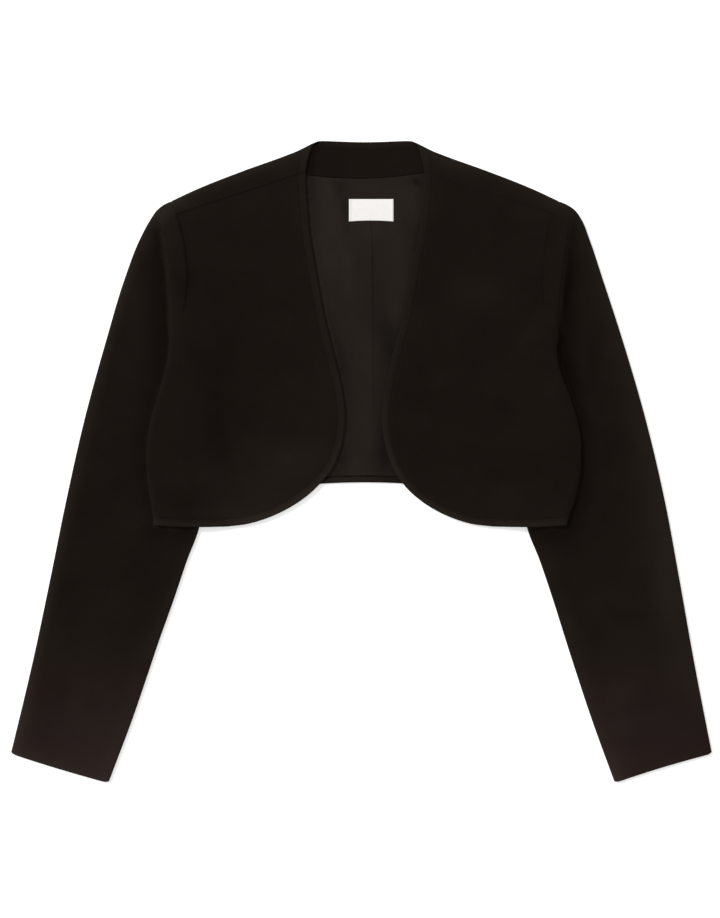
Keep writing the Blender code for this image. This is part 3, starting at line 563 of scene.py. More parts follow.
# The cuffs' fade starts and is full at these heights up the frame, in metres.
CUFF_FADE = (-0.17, -0.32)
# The tone, painted light and shade included, at which the faded cuffs reach their lightest colour.
TONE_FULLY_LIT = 2.6
THREAD_DARKER = 0.7
COURSE_LEAN = 1.1
# The pitches of the weaves and knits, in metres.
WALE = 0.95 * MM
COURSE = 0.72 * MM
TWILL = 0.55 * MM
YARN = 0.3 * MM
RIB = 0.42 * MM
TWIST = 0.35 * MM


# ================================================================ plan geometry


def smooth(t):
    """Eases from 0 to 1 as t goes from 0 to 1."""
    t = np.clip(t, 0.0, 1.0)
    return t * t * (3.0 - 2.0 * t)


def eased(down, stretch):
    """Eases from 0 to 1 over a stretch that starts this far down and is this long."""
    start, over = stretch
    return smooth((down - start) / over)


def bell(away, width):
    return np.exp(-((away / width) ** 2))


def curve(rows):
    """A smooth line through the rows of a table, as points close together."""
    points = np.array(rows, float)
    if len(points) == 2:
        return points
    at = travelled(points)
    slopes = np.diff(points, axis=0) / np.diff(at)[:, None]
    tangents = np.empty_like(points)
    tangents[0], tangents[-1] = slopes[0], slopes[-1]
    before = np.diff(at)[:-1, None]
    after = np.diff(at)[1:, None]
    tangents[1:-1] = (slopes[:-1] * after + slopes[1:] * before) / (before + after)
    line = [points[0]]
    for i in range(len(points) - 1):
        span = at[i + 1] - at[i]
        for k in range(1, CURVE_POINTS + 1):
            t = k / CURVE_POINTS
            line.append(
                (2 * t**3 - 3 * t**2 + 1) * points[i]
                + (t**3 - 2 * t**2 + t) * span * tangents[i]
                + (3 * t**2 - 2 * t**3) * points[i + 1]
                + (t**3 - t**2) * span * tangents[i + 1]
            )
    return np.array(line)


def columns_at(plan, table):
    """A table's columns at plan points: its first column says how far down each row is."""
    down, *columns = np.array(table, float).T
    return [np.interp(-plan[..., 1], down, column) for column in columns]


def travelled(line):
    """The distance travelled at each point of a line."""
    return np.concatenate([[0.0], np.cumsum(np.linalg.norm(np.diff(line, axis=0), axis=1))])


def length_of(line):
    return float(travelled(line)[-1])


def shares_of(count):
    """Even shares from 0 to 1."""
    return np.linspace(0.0, 1.0, count)


def along(line, shares):
    """The points at these shares of a line's length. shares may have any shape."""
    at = travelled(line)
    wanted = np.asarray(shares, float) * at[-1]
    return np.stack([np.interp(wanted, at, line[:, k]) for k in range(line.shape[1])], axis=-1)


def on_plan(side, rows):
    """Table rows as plan points: x is across, y is up the garment."""
    rows = np.asarray(rows, float)
    return np.stack([side * rows[:, 1] - rows[:, 2], -rows[:, 0]], axis=1)


def distance(points, line):
    """The distance from each point to a line."""
    flat = points.reshape(-1, 2)
    best = np.full(len(flat), np.inf)
    for start, end in zip(line[:-1], line[1:]):
        span = end - start
        size = float(span @ span)
        if size < 1e-12:
            continue
        t = np.clip(((flat - start) @ span) / size, 0.0, 1.0)
        off = flat - start - t[:, None] * span
        best = np.minimum(best, np.einsum("ij,ij->i", off, off))
    return np.sqrt(best).reshape(points.shape[:-1])


def inside(points, outline):
    """Whether each point lies inside a closed outline."""
    held = np.zeros(len(points), bool)
    for (x0, y0), (x1, y1) in zip(outline, np.roll(outline, -1, axis=0)):
        crosses = (y0 > points[:, 1]) != (y1 > points[:, 1])
        if y0 != y1:
            at = x0 + (points[:, 1] - y0) * (x1 - x0) / (y1 - y0)
            held ^= crosses & (points[:, 0] < at)
    return held


def unit(vectors):
    return vectors / np.maximum(np.linalg.norm(vectors, axis=-1, keepdims=True), 1e-9)


def steps_between(start, end, spacing):
    """Even places strictly between two places, no further apart than the spacing."""
    count = max(1, math.ceil((end - start) / spacing))
    return np.linspace(start, end, count + 1)[1:-1]


def places(length, first, last, spacing):
    """Places along a length: steps from its start, even ones, then steps to its end."""
    first, last = np.array(first), length - np.array(last)[::-1]
    return np.concatenate([first, steps_between(first[-1], last[0], spacing), last])


def round_off(away, reach):
    """How much of a wall's thickness is left this far from its rim: a quarter circle."""
    t = 1.0 - np.clip(away / reach, 0.0, 1.0)
    return np.sqrt(np.maximum(0.0, 1.0 - t * t))


def table_line(side, table):
    """A smooth line on one side of the plan through the rows of a table."""
    return on_plan(side, curve(table))


def lower_armhole_line(side):
    """The seam from the forward seam to the underarm."""
    return table_line(side, ARMHOLE[FORWARD_SEAM_AT:])


def armhole_line(side):
    """The seam from the shoulder to the underarm."""
    top = on_plan(side, ARMHOLE[:FORWARD_SEAM_AT])
    return np.concatenate([top, lower_armhole_line(side)])


HIDDEN_FOLDS = {
    side: table_line(side, [row for row in SLEEVE_INNER_EDGE if row[0] < HIDDEN_FOLD_END])
    for side in WEARER
}
SIDE_EDGES = {side: table_line(side, SIDE_EDGE) for side in WEARER}
CAP_FOLDS = {side: table_line(side, CAP_FOLD) for side in WEARER}
# The fold of the sleeve's cap runs on into the body's side edge.
EDGE_LINES = {side: np.concatenate([CAP_FOLDS[side], SIDE_EDGES[side][1:]]) for side in WEARER}
UNDERARM_DOWN = SIDE_EDGE[0][0]


def within(side, line, points):
    """Whether points lie on the garment's side of a line that runs down it."""
    return side * points[..., 0] < np.interp(-points[..., 1], -line[:, 1], side * line[:, 0])


def side_rolled(side, points):
    """How far the body's side has rolled down: 1 at its edge and 0 well inside it."""
    return 1.0 - round_off(distance(points, SIDE_EDGES[side]), SIDE_ROLL)


def body_lift(points):
    """How high the body lies off the surface, over the sleeve that lies behind its side."""
    lift = np.zeros(points.shape[:-1])
    for side, fold in HIDDEN_FOLDS.items():
        away = distance(points, fold)
        beyond = (-points[..., 1] > UNDERARM_DOWN) & ~within(side, fold, points)
        away = np.where(beyond, -away, away)
        lift += BODY_LIFT * (1.0 - smooth((away - LIFT_PLATEAU) / LIFT_RAMP))
    return np.minimum(lift, BODY_LIFT)


def sleeve_top(side, points):
    """The height of a sleeve's upper face. Beside the armhole it is level with the body."""
    down = -points[..., 1]
    flat = LAID_TOP + (SLEEVE_TOP - LAID_TOP) * eased(down, SLEEVE_THINS)
    body = LAID_TOP + body_lift(points) - SIDE_ROLL_DROP * side_rolled(side, points)
    body = body - UNDERARM_DIP * eased(down, (UNDERARM_DOWN - 1.0, 2.0))
    level = flat + (body - flat) * (1.0 - eased(down, (UNDERARM_DOWN, UNDERARM_REACH)))
    beyond = distance(points, EDGE_LINES[side])
    beyond = np.where(within(side, EDGE_LINES[side], points), -beyond, beyond)
    strength = eased(down, RIDGE_RISES) * (1.0 - eased(down, RIDGE_ENDS))
    half = (CAP_DROP + (NARROW_DROP - CAP_DROP) * eased(down, DROP_NARROWS)) / 2.0
    share = np.clip(1.0 + (beyond + half) / CAP_REACH, 0.0, 1.0)
    inner = level + CAP_RIDGE * strength * share**CAP_ROUNDING
    crest = level + CAP_RIDGE * strength
    foot = flat - CAP_VALLEY * strength
    drop = crest + (foot - crest) * smooth((beyond + half) / (2.0 * half))
    rest = foot + (flat - foot) * smooth((beyond - half) / (CAP_REACH - half))
    return np.where(beyond < -half, inner, np.where(beyond < half, drop, rest))


def relief(points, creases):
    """The height that a list of creases gives each point."""
    height = np.zeros(points.shape[:-1])
    for from_down, from_across, to_down, to_across, width, rise in creases:
        start = np.array([from_across, -from_down])
        span = np.array([to_across, -to_down]) - start
        t = ((points - start) @ span) / (span @ span)
        foot = start + np.clip(t, 0.0, 1.0)[..., None] * span
        away = np.linalg.norm(points - foot, axis=-1)
        taper = smooth(1.0 - np.abs(2.0 * np.clip(t, 0.0, 1.0) - 1.0) ** 3)
        height += rise * bell(away, width) * (CREASE_ENDS + (1.0 - CREASE_ENDS) * taper)
    return height


def band_height(away):
    """The puffed edge band, the groove of its topstitching and the cloth beyond it."""
    puff = BAND_PUFF * smooth(away / PUFF_RISE) * smooth((BAND - away) / PUFF_FALL)
    line = -BAND_LINE_DEPTH * bell(away - BAND_LINE, BAND_LINE_WIDTH)
    groove = -GROOVE * bell(away - BAND, GROOVE_WIDTH)
    beyond = SWELL * bell(away - BAND - SWELL_OUT, SWELL_WIDTH)
    return puff + line + groove + beyond


def pulls(points, away):
    """The small pulls that topstitching leaves beside itself, uneven along the edge."""
    x, y = points[..., 0], points[..., 1]
    wave = sum(part * np.sin(kx * x + ky * y + start) for part, kx, ky, start in PULL_WAVES)
    return PULL_HEIGHT * wave * bell(away - BAND, PULL_WIDTH)


def neck_line(across):
    """How far down the neck's edge is between its corners."""
    corner_down, corner_out = SHOULDER_LINE[0][:2]
    return corner_down + NECK_DIP * (1.0 - (across / corner_out) ** 2) ** 2


def facing_edge(across):
    """How far down the neck facing reaches."""
    share = across / FACING_HALF_WIDTH
    return FACING_DEPTH - FACING_RISE * share**2 - FACING_TILT * share


def back_hem(across):
    """The back's hem between its two middle columns."""
    edge = BACK_HEM[-1]
    return BACK_HEM_MIDDLE + (edge[0] - BACK_HEM_MIDDLE) * (across / edge[1]) ** 2


def back_hem_line():
    """The whole hem of the back, from the wearer's right to the wearer's left."""
    right = table_line(-1, BACK_HEM)
    left = table_line(1, BACK_HEM)[::-1]
    across = np.linspace(right[-1][0], left[0][0], HEM_MIDDLE_POINTS)[1:-1]
    middle = np.stack([across, -back_hem(across)], axis=1)
    return np.concatenate([right, middle, left])


# ================================================================ cloth walls

label_low, label_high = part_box("label")
SHIFT = np.array([
    (label_low.x + label_high.x) / 2.0 / MM - LABEL_ACROSS,
    label_high.y / MM + LABEL_DOWN,
    0.0,
])


def in_frame(points):
    """Plan points with heights, in millimetres, as places in the frame, in metres."""
    return (points + SHIFT) * MM


def lifted(plan, height):
    """Plan points with their heights."""
    height = np.broadcast_to(height, plan.shape[:-1])
    return np.concatenate([plan, height[..., None]], axis=-1)


def faces_at(plan, outer, inner):
    """The outer and the inner face of a wall: plan points at two heights."""
    return np.stack([lifted(plan, outer), lifted(plan, inner)])


def pinch(faces, away, reach, outer_share=1.0, inner_share=1.0):
    """Draws both faces of a wall together at a rim, each by its share."""
    middle = (faces[0] + faces[1]) / 2.0
    gone = 1.0 - np.maximum(round_off(away, reach), RIM_LEFT)
    kept = np.stack([1.0 - outer_share * gone, 1.0 - inner_share * gone])
    return middle + (faces - middle) * kept[..., None]


def folded_faces(edge, inward, radius, reach, angles):
    """Both faces of cloth that is folded round an edge, at these angles up from level."""
    cos, sin = np.cos(angles), np.sin(angles)
    inner_radius, inner_reach = radius - CLOTH, np.maximum(reach - CLOTH, LEAST_REACH)
    outer = edge + inward * (reach * (1.0 - cos))[..., None]
    inner = edge + inward * (reach - inner_reach * cos)[..., None]
    return np.stack([
        lifted(outer, radius + radius * sin), lifted(inner, radius + inner_radius * sin),
    ])


def placed(name, data):
    """A new object in the scene."""
    made = bpy.data.objects.new(name, data)
    bpy.context.scene.collection.objects.link(made)
    return made


def new_piece(name, mesh):
    """A visible piece of the garment. The whole garment is one body."""
    piece = placed(name, mesh)
    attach(piece, "root")
    return piece


class Wall:
    """A cloth wall: each point has an outer and an inner face, and free edges are closed."""

    def __init__(self):
        self.points, self.tones, self.faces, self.grain = [], [], [], []
        self.count = 0

    def lay(self, both, tone):
        """Adds a grid of points, which has both faces, and returns their numbers."""
        shape = both.shape[1:-1]
        self.points.append(both.reshape(2, -1, 3))
        self.tones.append(np.broadcast_to(tone, shape).reshape(-1))
        numbers = self.count + np.arange(int(np.prod(shape))).reshape(shape)
        self.count += numbers.size
        return numbers

    def join(self, faces, grain):
        """Adds faces by their points' numbers, with each corner's place on the uncut cloth."""
        for face, places_on in zip(faces.tolist(), grain.tolist()):
            corners = dict(zip(face, places_on))
            if len(corners) > 2:
                self.faces.append(list(corners))
                self.grain.append(list(corners.values()))

    def weave(self, numbers, grain):
        """Joins a grid of points by four-sided faces."""
        corners = [np.s_[:-1, :-1], np.s_[:-1, 1:], np.s_[1:, 1:], np.s_[1:, :-1]]
        faces = np.stack([numbers[c] for c in corners], axis=-1).reshape(-1, 4)
        self.join(faces, np.stack([grain[c] for c in corners], axis=-2).reshape(-1, 4, 2))

    def rims(self):
        """The edges that only one face uses, with the places of their two ends."""
        seen = {}
        for face, places_on in zip(self.faces, self.grain):
            for k, a in enumerate(face):
                b = face[k - 1]
                key = (min(a, b), max(a, b))
                seen[key] = None if key in seen else (b, a, places_on[k - 1], places_on[k])
        return [use for use in seen.values() if use]

    def make(self, name, finish):
        """Closes the free edges and makes the wall's mesh, with its grain and its tones."""
        shift = self.count
        points = np.concatenate(self.points, axis=1).reshape(-1, 3)
        faces = self.faces + [[v + shift for v in reversed(face)] for face in self.faces]
        grain = self.grain + [list(reversed(places_on)) for places_on in self.grain]
        for a, b, grain_a, grain_b in self.rims():
            faces.append([b, a, a + shift, b + shift])
            grain.append([grain_b, grain_a, grain_a, grain_b])
        mesh = bpy.data.meshes.new(name)
        mesh.from_pydata(in_frame(points).tolist(), [], faces)
        layer = mesh.uv_layers.new(name="grain")
        flat = np.array([place for places_on in grain for place in places_on]) * MM
        layer.uv.foreach_set("vector", flat.astype(np.float32).ravel())
        # The tone attribute carries painted light and shade, with some uneven tone of the cloth,
        # into the finishes.
        tones = np.concatenate(self.tones + self.tones).astype(np.float32)
        mesh.attributes.new("tone", "FLOAT", "POINT").data.foreach_set("value", tones)
        work = bmesh.new()
        work.from_mesh(mesh)
        bmesh.ops.recalc_face_normals(work, faces=work.faces)
        work.to_mesh(mesh)
        work.free()
        mesh.shade_smooth()
        mesh.set_sharp_from_angle(angle=math.radians(SHARP_ANGLE))
        mesh.materials.append(finish)
        return new_piece(name, mesh)


def make_sheet(name, both, tone, grain, finish):
    """A piece of cloth that is one grid of points."""
    wall = Wall()
    wall.weave(wall.lay(both, tone), grain)
    return wall.make(name, finish)


def patch(top, bottom, left, right, u, v):
    """Plan points at shares u across and v along inside four edges."""
    u, v = np.broadcast_arrays(np.asarray(u, float), np.asarray(v, float))
    a, b = u[..., None], v[..., None]
    corners = (1 - a) * (1 - b) * top[0] + a * (1 - b) * top[-1]
    corners = corners + (1 - a) * b * bottom[0] + a * b * bottom[-1]
    ends = (1 - b) * along(top, u) + b * along(bottom, u)
    return ends + (1 - a) * along(left, v) + a * along(right, v) - corners


# ================================================================ the fronts

OPENINGS = {
    side: np.concatenate([
        table_line(side, NECK_TO_SEAM),
        table_line(side, FRONT_EDGE)[1:],
        table_line(side, FRONT_HEM)[::-1][1:],
    ])
    for side in WEARER
}


def armhole_ditch(side, plan):
    """How deep the armhole seam's ditch is, flattening out before the underarm."""
    return SEAM_DITCH[side] * (1.0 - DITCH_FADES * eased(-plan[..., 1], DITCH_ENDS))


def armhole_tone(side, plan):
    """The shade in the armhole seam."""
    shade = bell(distance(plan, lower_armhole_line(side)), ARMHOLE_SHADE_WIDTH)
    return -ARMHOLE_SHADE[side] * shade * (1.0 - eased(-plan[..., 1], DITCH_ENDS))


def front_outline(side):
    """The front's closed outline, as points close together."""
    edges = [table_line(side, FORWARD_SEAM), table_line(side, FRONT_EDGE)]
    for table in (FRONT_HEM, SIDE_EDGE, ARMHOLE[FORWARD_SEAM_AT:]):
        edges.append(table_line(side, table)[::-1])
    counts = [max(2, round(length_of(edge) / OUTLINE_STEP)) for edge in edges]
    return np.concatenate([
        along(edge, shares_of(count + 1))[:-1] for edge, count in zip(edges, counts)
    ])


def offsets(outline):
    """At each point of a closed outline, the step that takes it one millimetre inside."""
    before = unit(outline - np.roll(outline, 1, axis=0))
    after = unit(np.roll(outline, -1, axis=0) - outline)
    turned = np.stack([-(before + after)[:, 1], (before + after)[:, 0]], axis=1)
    x, y = outline.T
    if (x * np.roll(y, -1) - y * np.roll(x, -1)).sum() < 0:
        turned = -turned
    return turned / (1.0 + np.einsum("ij,ij->i", before, after))[:, None]


def filled(outline, depths, spacing):
    """Points inside an outline, their triangles, and each one's step inwards at the rim."""
    closed = np.concatenate([outline, outline[:1]])
    step = offsets(outline)
    found = [outline]
    for depth in depths[1:]:
        ring = outline + step * depth
        found.append(ring[distance(ring, closed) > NEARLY * depth])
    low, high = outline.min(axis=0), outline.max(axis=0)
    rows = np.arange(low[1], high[1], spacing * math.sqrt(0.75))
    columns = np.arange(low[0], high[0], spacing)
    lattice = np.stack(np.meshgrid(columns, rows), axis=-1)
    lattice[1::2, :, 0] += spacing / 2.0
    lattice = lattice.reshape(-1, 2)
    lattice = lattice[inside(lattice, outline)]
    lattice = lattice[distance(lattice, closed) > depths[-1] + LATTICE_CLEAR * spacing]
    points = np.concatenate(found + [lattice])
    count = len(outline)
    loop = [(i, (i + 1) % count) for i in range(count)]
    corners = [Vector(p) for p in points]
    made = delaunay_2d_cdt(corners, loop, [], KEEP_INSIDE, SAME_POINT)
    inwards = np.zeros((len(made[0]), 2))
    for number, before in enumerate(made[3]):
        if before and before[0] < count:
            inwards[number] = step[before[0]]
    return np.array([v[:] for v in made[0]]), np.array(made[2]), inwards


def front_top(side, plan):
    """The height of a front's upper face, before its rims are rounded, and of its creases."""
    from_free = distance(plan, OPENINGS[side])
    creases = relief(plan, FRONT_CREASES[side]) * smooth(from_free / CREASE_CLEAR)
    level = LAID_TOP + body_lift(plan) - SIDE_ROLL_DROP * side_rolled(side, plan)
    return level + band_height(from_free) + pulls(plan, from_free) + creases, creases


def make_front(side, finish):
    plan, triangles, inwards = filled(front_outline(side), BAND_STEPS, LATTICE_STEP)
    from_free = distance(plan, OPENINGS[side])
    from_forward = distance(plan, table_line(side, FORWARD_SEAM))
    from_armhole = distance(plan, lower_armhole_line(side))
    top, creases = front_top(side, plan)
    low = body_lift(plan) + FRONT_LOW - (FRONT_LOW - INSIDE_LOW) * side_rolled(side, plan)
    low = low + np.maximum(creases, 0.0)
    both = pinch(faces_at(plan, top, low), from_free, EDGE_ROUND)
    both = pinch(both, from_forward, SEAM_ROUND, SEAM_DITCH[side], 0.0)
    both = pinch(both, from_armhole, SEAM_ROUND, armhole_ditch(side, plan), 0.0)
    both[..., :2] += inwards * EDGE_NOTCH * (from_free < ON_EDGE)[:, None]
    # The band's painted light and shade, patches of painted light and shade, painted light inside
    # the side edge, and painted shade in the armhole, the creases and the forward seam.
    tone = band_light_and_shade(from_free, plan, BAND_LIGHT_AND_SHADE[side]) + tone_at(plan, FRONT_TONES[side])
    tone = tone + edge_light(side, plan) + armhole_tone(side, plan) + CREASE_SHADE * creases
    tone = tone - FORWARD_SHADE[side] * bell(from_forward, SEAM_SHADE_WIDTH)
    wall = Wall()
    wall.lay(both, tone)
    wall.join(triangles, plan[triangles])
    return wall.make(f"front_{WEARER[side]}_cloth", finish)


def band_light_and_shade(away, plan, table):
    """The painted light on the pressed edge band, and the painted shade at its very edge."""
    light, ridge, dark = columns_at(plan, table)
    broad = smooth((BAND_FADES - away) / BAND_FADE_WIDTH)
    crest = bell(away - BAND_RIDGE, BAND_RIDGE_WIDTH)
    return light * broad + ridge * crest - dark * bell(away, BAND_EDGE_WIDTH)


def edge_light(side, plan):
    """The painted light inside the line of the cap's fold and the side edge."""
    light, wide, _, _ = columns_at(plan, EDGE_LIGHT_AND_SHADE[side])
    away = distance(plan, EDGE_LINES[side])
    return light * smooth(away / LIGHT_STARTS) * bell(away, wide)


def cast_shade(away, dark, wide, core):
    """The soft shade beside a raised edge: it eases off close to the edge, and fades away."""
    fades = smooth((wide - away) / (SHADE_FADES * wide))
    return dark * smooth(away / SHADE_STARTS) * fades - core * bell(away - CORE_AT, CORE_WIDTH)


def front_shade(plan):
    """How dark the inside is beside the fronts' free edges."""
    total = np.zeros(plan.shape[:-1])
    for side, table in FRONT_SHADES.items():
        away = distance(plan, OPENINGS[side])
        dark, = columns_at(plan, table)
        core = FRONT_SHADE_CORE[side] * bell(away - FRONT_CORE_AT, CORE_WIDTH)
        total += core - dark * bell(away, FRONT_SHADE_WIDTH[side])
    return total


def edge_shade(side, plan):
    """The painted shadow that the body casts on a sleeve outside that line, and below the fronts'
    hem.
    """
    _, _, dark, wide = columns_at(plan, EDGE_LIGHT_AND_SHADE[side])
    from_edge = distance(plan, EDGE_LINES[side])
    from_hem = distance(plan, table_line(side, FRONT_HEM))
    beside_edge = cast_shade(from_edge, dark, wide, EDGE_CORE[side] * dark)
    below_hem = cast_shade(from_hem, *HEM_SHADE[side], HEM_CORE)
    return -np.where(from_edge < from_hem, beside_edge, below_hem)


def edge_highlight_at(plan, away, table):
    """The painted highlight along a folded edge, at points this far from it."""
    light, wide = columns_at(plan, table)
    return light * bell(away, wide)


def tone_at(plan, tones):
    """How much lighter or darker the cloth is painted at plan points, from a table of soft patches
    of painted light and shade.
    """
    total = np.zeros(plan.shape[:-1])
    for down, across, long, wide, amount in tones:
        off = (plan - np.array([across, -down])) / np.array([wide, long])
        total += amount * np.exp(-(off**2).sum(axis=-1))
    return total


# ================================================================ the back


def column_places(whole):
    """Distances across the back's half, close together at its seam and at its neck end."""
    near, far = np.array(SIDE_STEPS), whole - np.array(BAND_STEPS)[::-1]
    return np.concatenate([near, np.linspace(near[-1], far[0], BACK_COLUMNS)[1:-1], far])


def back_rows(side):
    """Rows of plan points over one half of the back, from its shoulder to its hem."""
    silhouette = table_line(side, SHOULDER_LINE)[::-1]
    hem = table_line(side, BACK_HEM)
    left = np.concatenate([armhole_line(side), table_line(side, SIDE_EDGE)[1:]])
    column = np.array([silhouette[-1], hem[-1]])
    whole = length_of(left)
    first = np.linspace(BACK_FIRST_ROW, whole - HEM_STEPS[-1], BACK_ROWS)
    fine = shares_of(ROW_POINTS)
    rows = []
    for share in first / whole:
        line = patch(silhouette, hem, left, column, fine, share)
        rows.append(along(line, column_places(length_of(line)) / length_of(line)))
    hem_row = along(hem, column_places(length_of(hem)) / length_of(hem))
    up = unit(rows[-1] - hem_row)
    rows += [hem_row + up * step for step in HEM_STEPS[-2::-1]]
    return np.array(rows)


def hem_height(from_hem):
    """How much the turned-up hem adds to the back's thickness."""
    return (INSIDE_TOP - CLOTH) * smooth((HEM_TURNUP + TURNUP_PAST - from_hem) / TURNUP_FALL)


def back_faces(plan, hem, seams):
    """The outer face, which lies down, and the inner face of the back at plan points."""
    lift = body_lift(plan)
    from_hem = distance(plan, hem)
    stitched = HEM_GROOVE * bell(from_hem - HEM_TURNUP, HEM_GROOVE_WIDTH)
    both = faces_at(plan, lift + stitched, lift + CLOTH + hem_height(from_hem))
    both = pinch(both, from_hem, EDGE_ROUND)
    from_seam = np.min([distance(plan, line) for line in seams], axis=0)
    return pinch(both, from_seam, SEAM_ROUND, SEAM_SHARE, 0.0)


def back_tone(plan, hem):
    """The turned-up hem is painted lighter than the rest of the back, with a painted highlight on
    its ridge and painted shade at its edge.
    """
    from_hem = distance(plan, hem)
    lit = smooth(from_hem) * smooth(HEM_TURNUP + BACK_LIGHT_PAST - from_hem)
    ridge = HEM_RIDGE_LIGHT * bell(from_hem - HEM_RIDGE, HEM_RIDGE_WIDTH)
    dark = HEM_EDGE_DARK * bell(from_hem, HEM_EDGE_WIDTH)
    return BACK_HEM_LIGHT * lit + ridge - dark + tone_at(plan, BACK_TONES)


def shoulder_wrap(wall, side):
    """The shoulder's fold and the strip in front of it. Returns its rows, the lowest first."""
    silhouette = table_line(side, SHOULDER_LINE)[::-1]
    seam = table_line(side, FORWARD_SEAM)
    top_of_armhole = on_plan(side, ARMHOLE[: FORWARD_SEAM_AT + 1])
    neck = table_line(side, NECK_TO_SEAM)
    edges = (silhouette, seam, top_of_armhole, neck)
    shares = column_places(length_of(silhouette)) / length_of(silhouette)
    apex = patch(*edges, shares, 0.0)
    inward = unit(patch(*edges, shares, FOLD_AIM) - apex)
    lines = patch(*edges, shares[:, None], shares_of(STRIP_FINE))
    fold = LAID_TOP / 2.0
    turns = shares_of(SHOULDER_STEPS)[:, None]
    wrapped = folded_faces(apex, inward, fold, fold, np.pi * (turns - 0.5))
    strip, strip_reach = [], []
    for line in lines:
        whole = length_of(line)
        steps = np.concatenate([
            np.linspace(fold, whole - RIM_STEPS[-1], STRIP_ROWS + 1)[1:],
            whole - np.array(RIM_STEPS[-2::-1]),
        ])
        strip.append(along(line, steps / whole))
        strip_reach.append(steps)
    strip = np.array(strip).transpose(1, 0, 2)
    strip[-1] -= inward * GAP
    strip_reach = np.array(strip_reach).T
    from_free = distance(strip, OPENINGS[side])
    risen = smooth((strip_reach - fold) / STRIP_RISE)
    top = LAID_TOP + (band_height(from_free) + pulls(strip, from_free)) * risen
    both = np.concatenate([wrapped, faces_at(strip, top, LAID_TOP - CLOTH)], axis=1)
    plan = both[0, ..., :2]
    from_free = distance(plan, OPENINGS[side])
    from_seam = np.minimum(distance(plan, seam), distance(plan, armhole_line(side)))
    both = pinch(both, from_free, NECK_ROUND)
    both = pinch(both, from_seam, SEAM_ROUND, SEAM_DITCH[side], 0.0)
    # The band's painted light and shade, a painted highlight along the shoulder's fold, the
    # shoulders' patches of painted light and shade, and painted shade in the seams.
    light, wide = SHOULDER_EDGE_HIGHLIGHT[side]
    tone = band_light_and_shade(from_free, plan, BAND_LIGHT_AND_SHADE[side]) + SHOULDER_TONE
    tone = tone + light * bell(distance(plan, silhouette), wide)
    tone = tone + tone_at(plan, SHOULDER_LIGHT_AND_SHADE[side])
    tone = tone - FORWARD_SHADE[side] * bell(distance(plan, seam), SEAM_SHADE_WIDTH)
    tone = tone + armhole_tone(side, plan)
    numbers = wall.lay(both, tone)
    turned = np.pi * fold * turns + np.zeros(len(apex))
    travel = np.concatenate([turned, turned[-1] + strip_reach - fold])
    grain = apex - inward * (travel - fold)[..., None]
    wall.weave(numbers, grain)
    return numbers, grain


def make_back(finish):
    """Both halves of the back, each with its shoulder, and the strip that joins them."""
    wall = Wall()
    hem = back_hem_line()
    halves, corners = {}, {}
    for side in WEARER:
        wrap, wrap_grain = shoulder_wrap(wall, side)
        plan = back_rows(side)
        seams = [armhole_line(side), table_line(side, SIDE_EDGE)]
        laid = wall.lay(back_faces(plan, hem, seams), back_tone(plan, hem))
        numbers = np.concatenate([wrap[:1], laid])
        grain = np.concatenate([wrap_grain[:1], plan])
        wall.weave(numbers, grain)
        halves[side] = (numbers[:, -1], grain[:, -1])
        corners[side] = (wrap[NECK_CORNER, -1], wrap_grain[NECK_CORNER, -1])
    left, right = halves[-1][1], halves[1][1]
    shares = shares_of(MIDDLE_COLUMNS)[1:-1]
    plan = left[:, None] + shares[:, None] * (right - left)[:, None]
    across = plan[..., 0]
    down = shares_of(len(plan))[:, None]
    dip = NECK_DIP_FADE * (1.0 - down) * neck_line(across)
    bow = (back_hem(across) - BACK_HEM[-1][0]) * eased(-plan[..., 1], HEM_BOW_EASES)
    plan = np.stack([across, plan[..., 1] - dip - bow], axis=-1)
    rim = across[:1] + np.zeros((len(RIM_STEPS), 1))
    neck_rows = np.stack([rim, -neck_line(rim) - np.array(RIM_STEPS)[:, None]], axis=-1)
    plan = np.concatenate([neck_rows, plan[1:]])
    numbers = wall.lay(back_faces(plan, hem, [neck_top_line()]), back_tone(plan, hem))
    ends = [np.concatenate([corners[side][0], halves[side][0]])[:, None] for side in WEARER]
    numbers = np.concatenate([ends[0], numbers, ends[1]], axis=1)
    ends = [np.concatenate([corners[side][1], halves[side][1]])[:, None] for side in WEARER]
    grain = np.concatenate([ends[0], plan, ends[1]], axis=1)
    wall.weave(numbers, grain)
    return wall.make("back_cloth", finish)


def neck_top_line():
    """The top of the neck between its two corners."""
    corner = SHOULDER_LINE[0][1]
    across = np.linspace(-corner, corner, NECK_POINTS)
    return np.stack([across, -neck_line(across)], axis=1)


# ================================================================ the sleeves


def drawn_to(line, start):
    """A line whose first points are pulled over to begin at another point."""
    pull = np.exp(-np.arange(len(line)) / EDGE_PULL)
    return line + (start - line[0]) * pull[:, None]


def sleeve_ends(side):
    """Each row's outer and inner end across a sleeve, and how many rows meet the armhole."""
    seam = along(armhole_line(side), shares_of(SEAM_POINTS))
    ahead = np.gradient(seam, axis=0)
    outward = unit(np.stack([ahead[:, 1], -ahead[:, 0]], axis=1))
    outward = outward * np.where(outward[:, :1] * side < 0.0, -1.0, 1.0)
    seam = seam - outward * SEAM_LAP
    outer_line = drawn_to(table_line(side, SLEEVE_OUTER_EDGE), seam[0])
    inner_line = drawn_to(table_line(side, SLEEVE_INNER_EDGE), seam[-1])
    start = CAP_START / length_of(seam)
    cap = np.linspace(start, 1.0, CAP_ROWS)
    underarm = SLEEVE_PACE * (1.0 - start) * length_of(seam) / length_of(outer_line)
    below = places(length_of(inner_line), UNDERARM_STEPS, RIM_STEPS, SLEEVE_STEP)[1:]
    below = below / length_of(inner_line)
    outers = np.concatenate([
        along(outer_line, (cap - start) / (1.0 - start) * underarm),
        along(outer_line, underarm + below * (1.0 - underarm)),
    ])
    inners = np.concatenate([along(seam, cap), along(inner_line, below)])
    return outers, inners


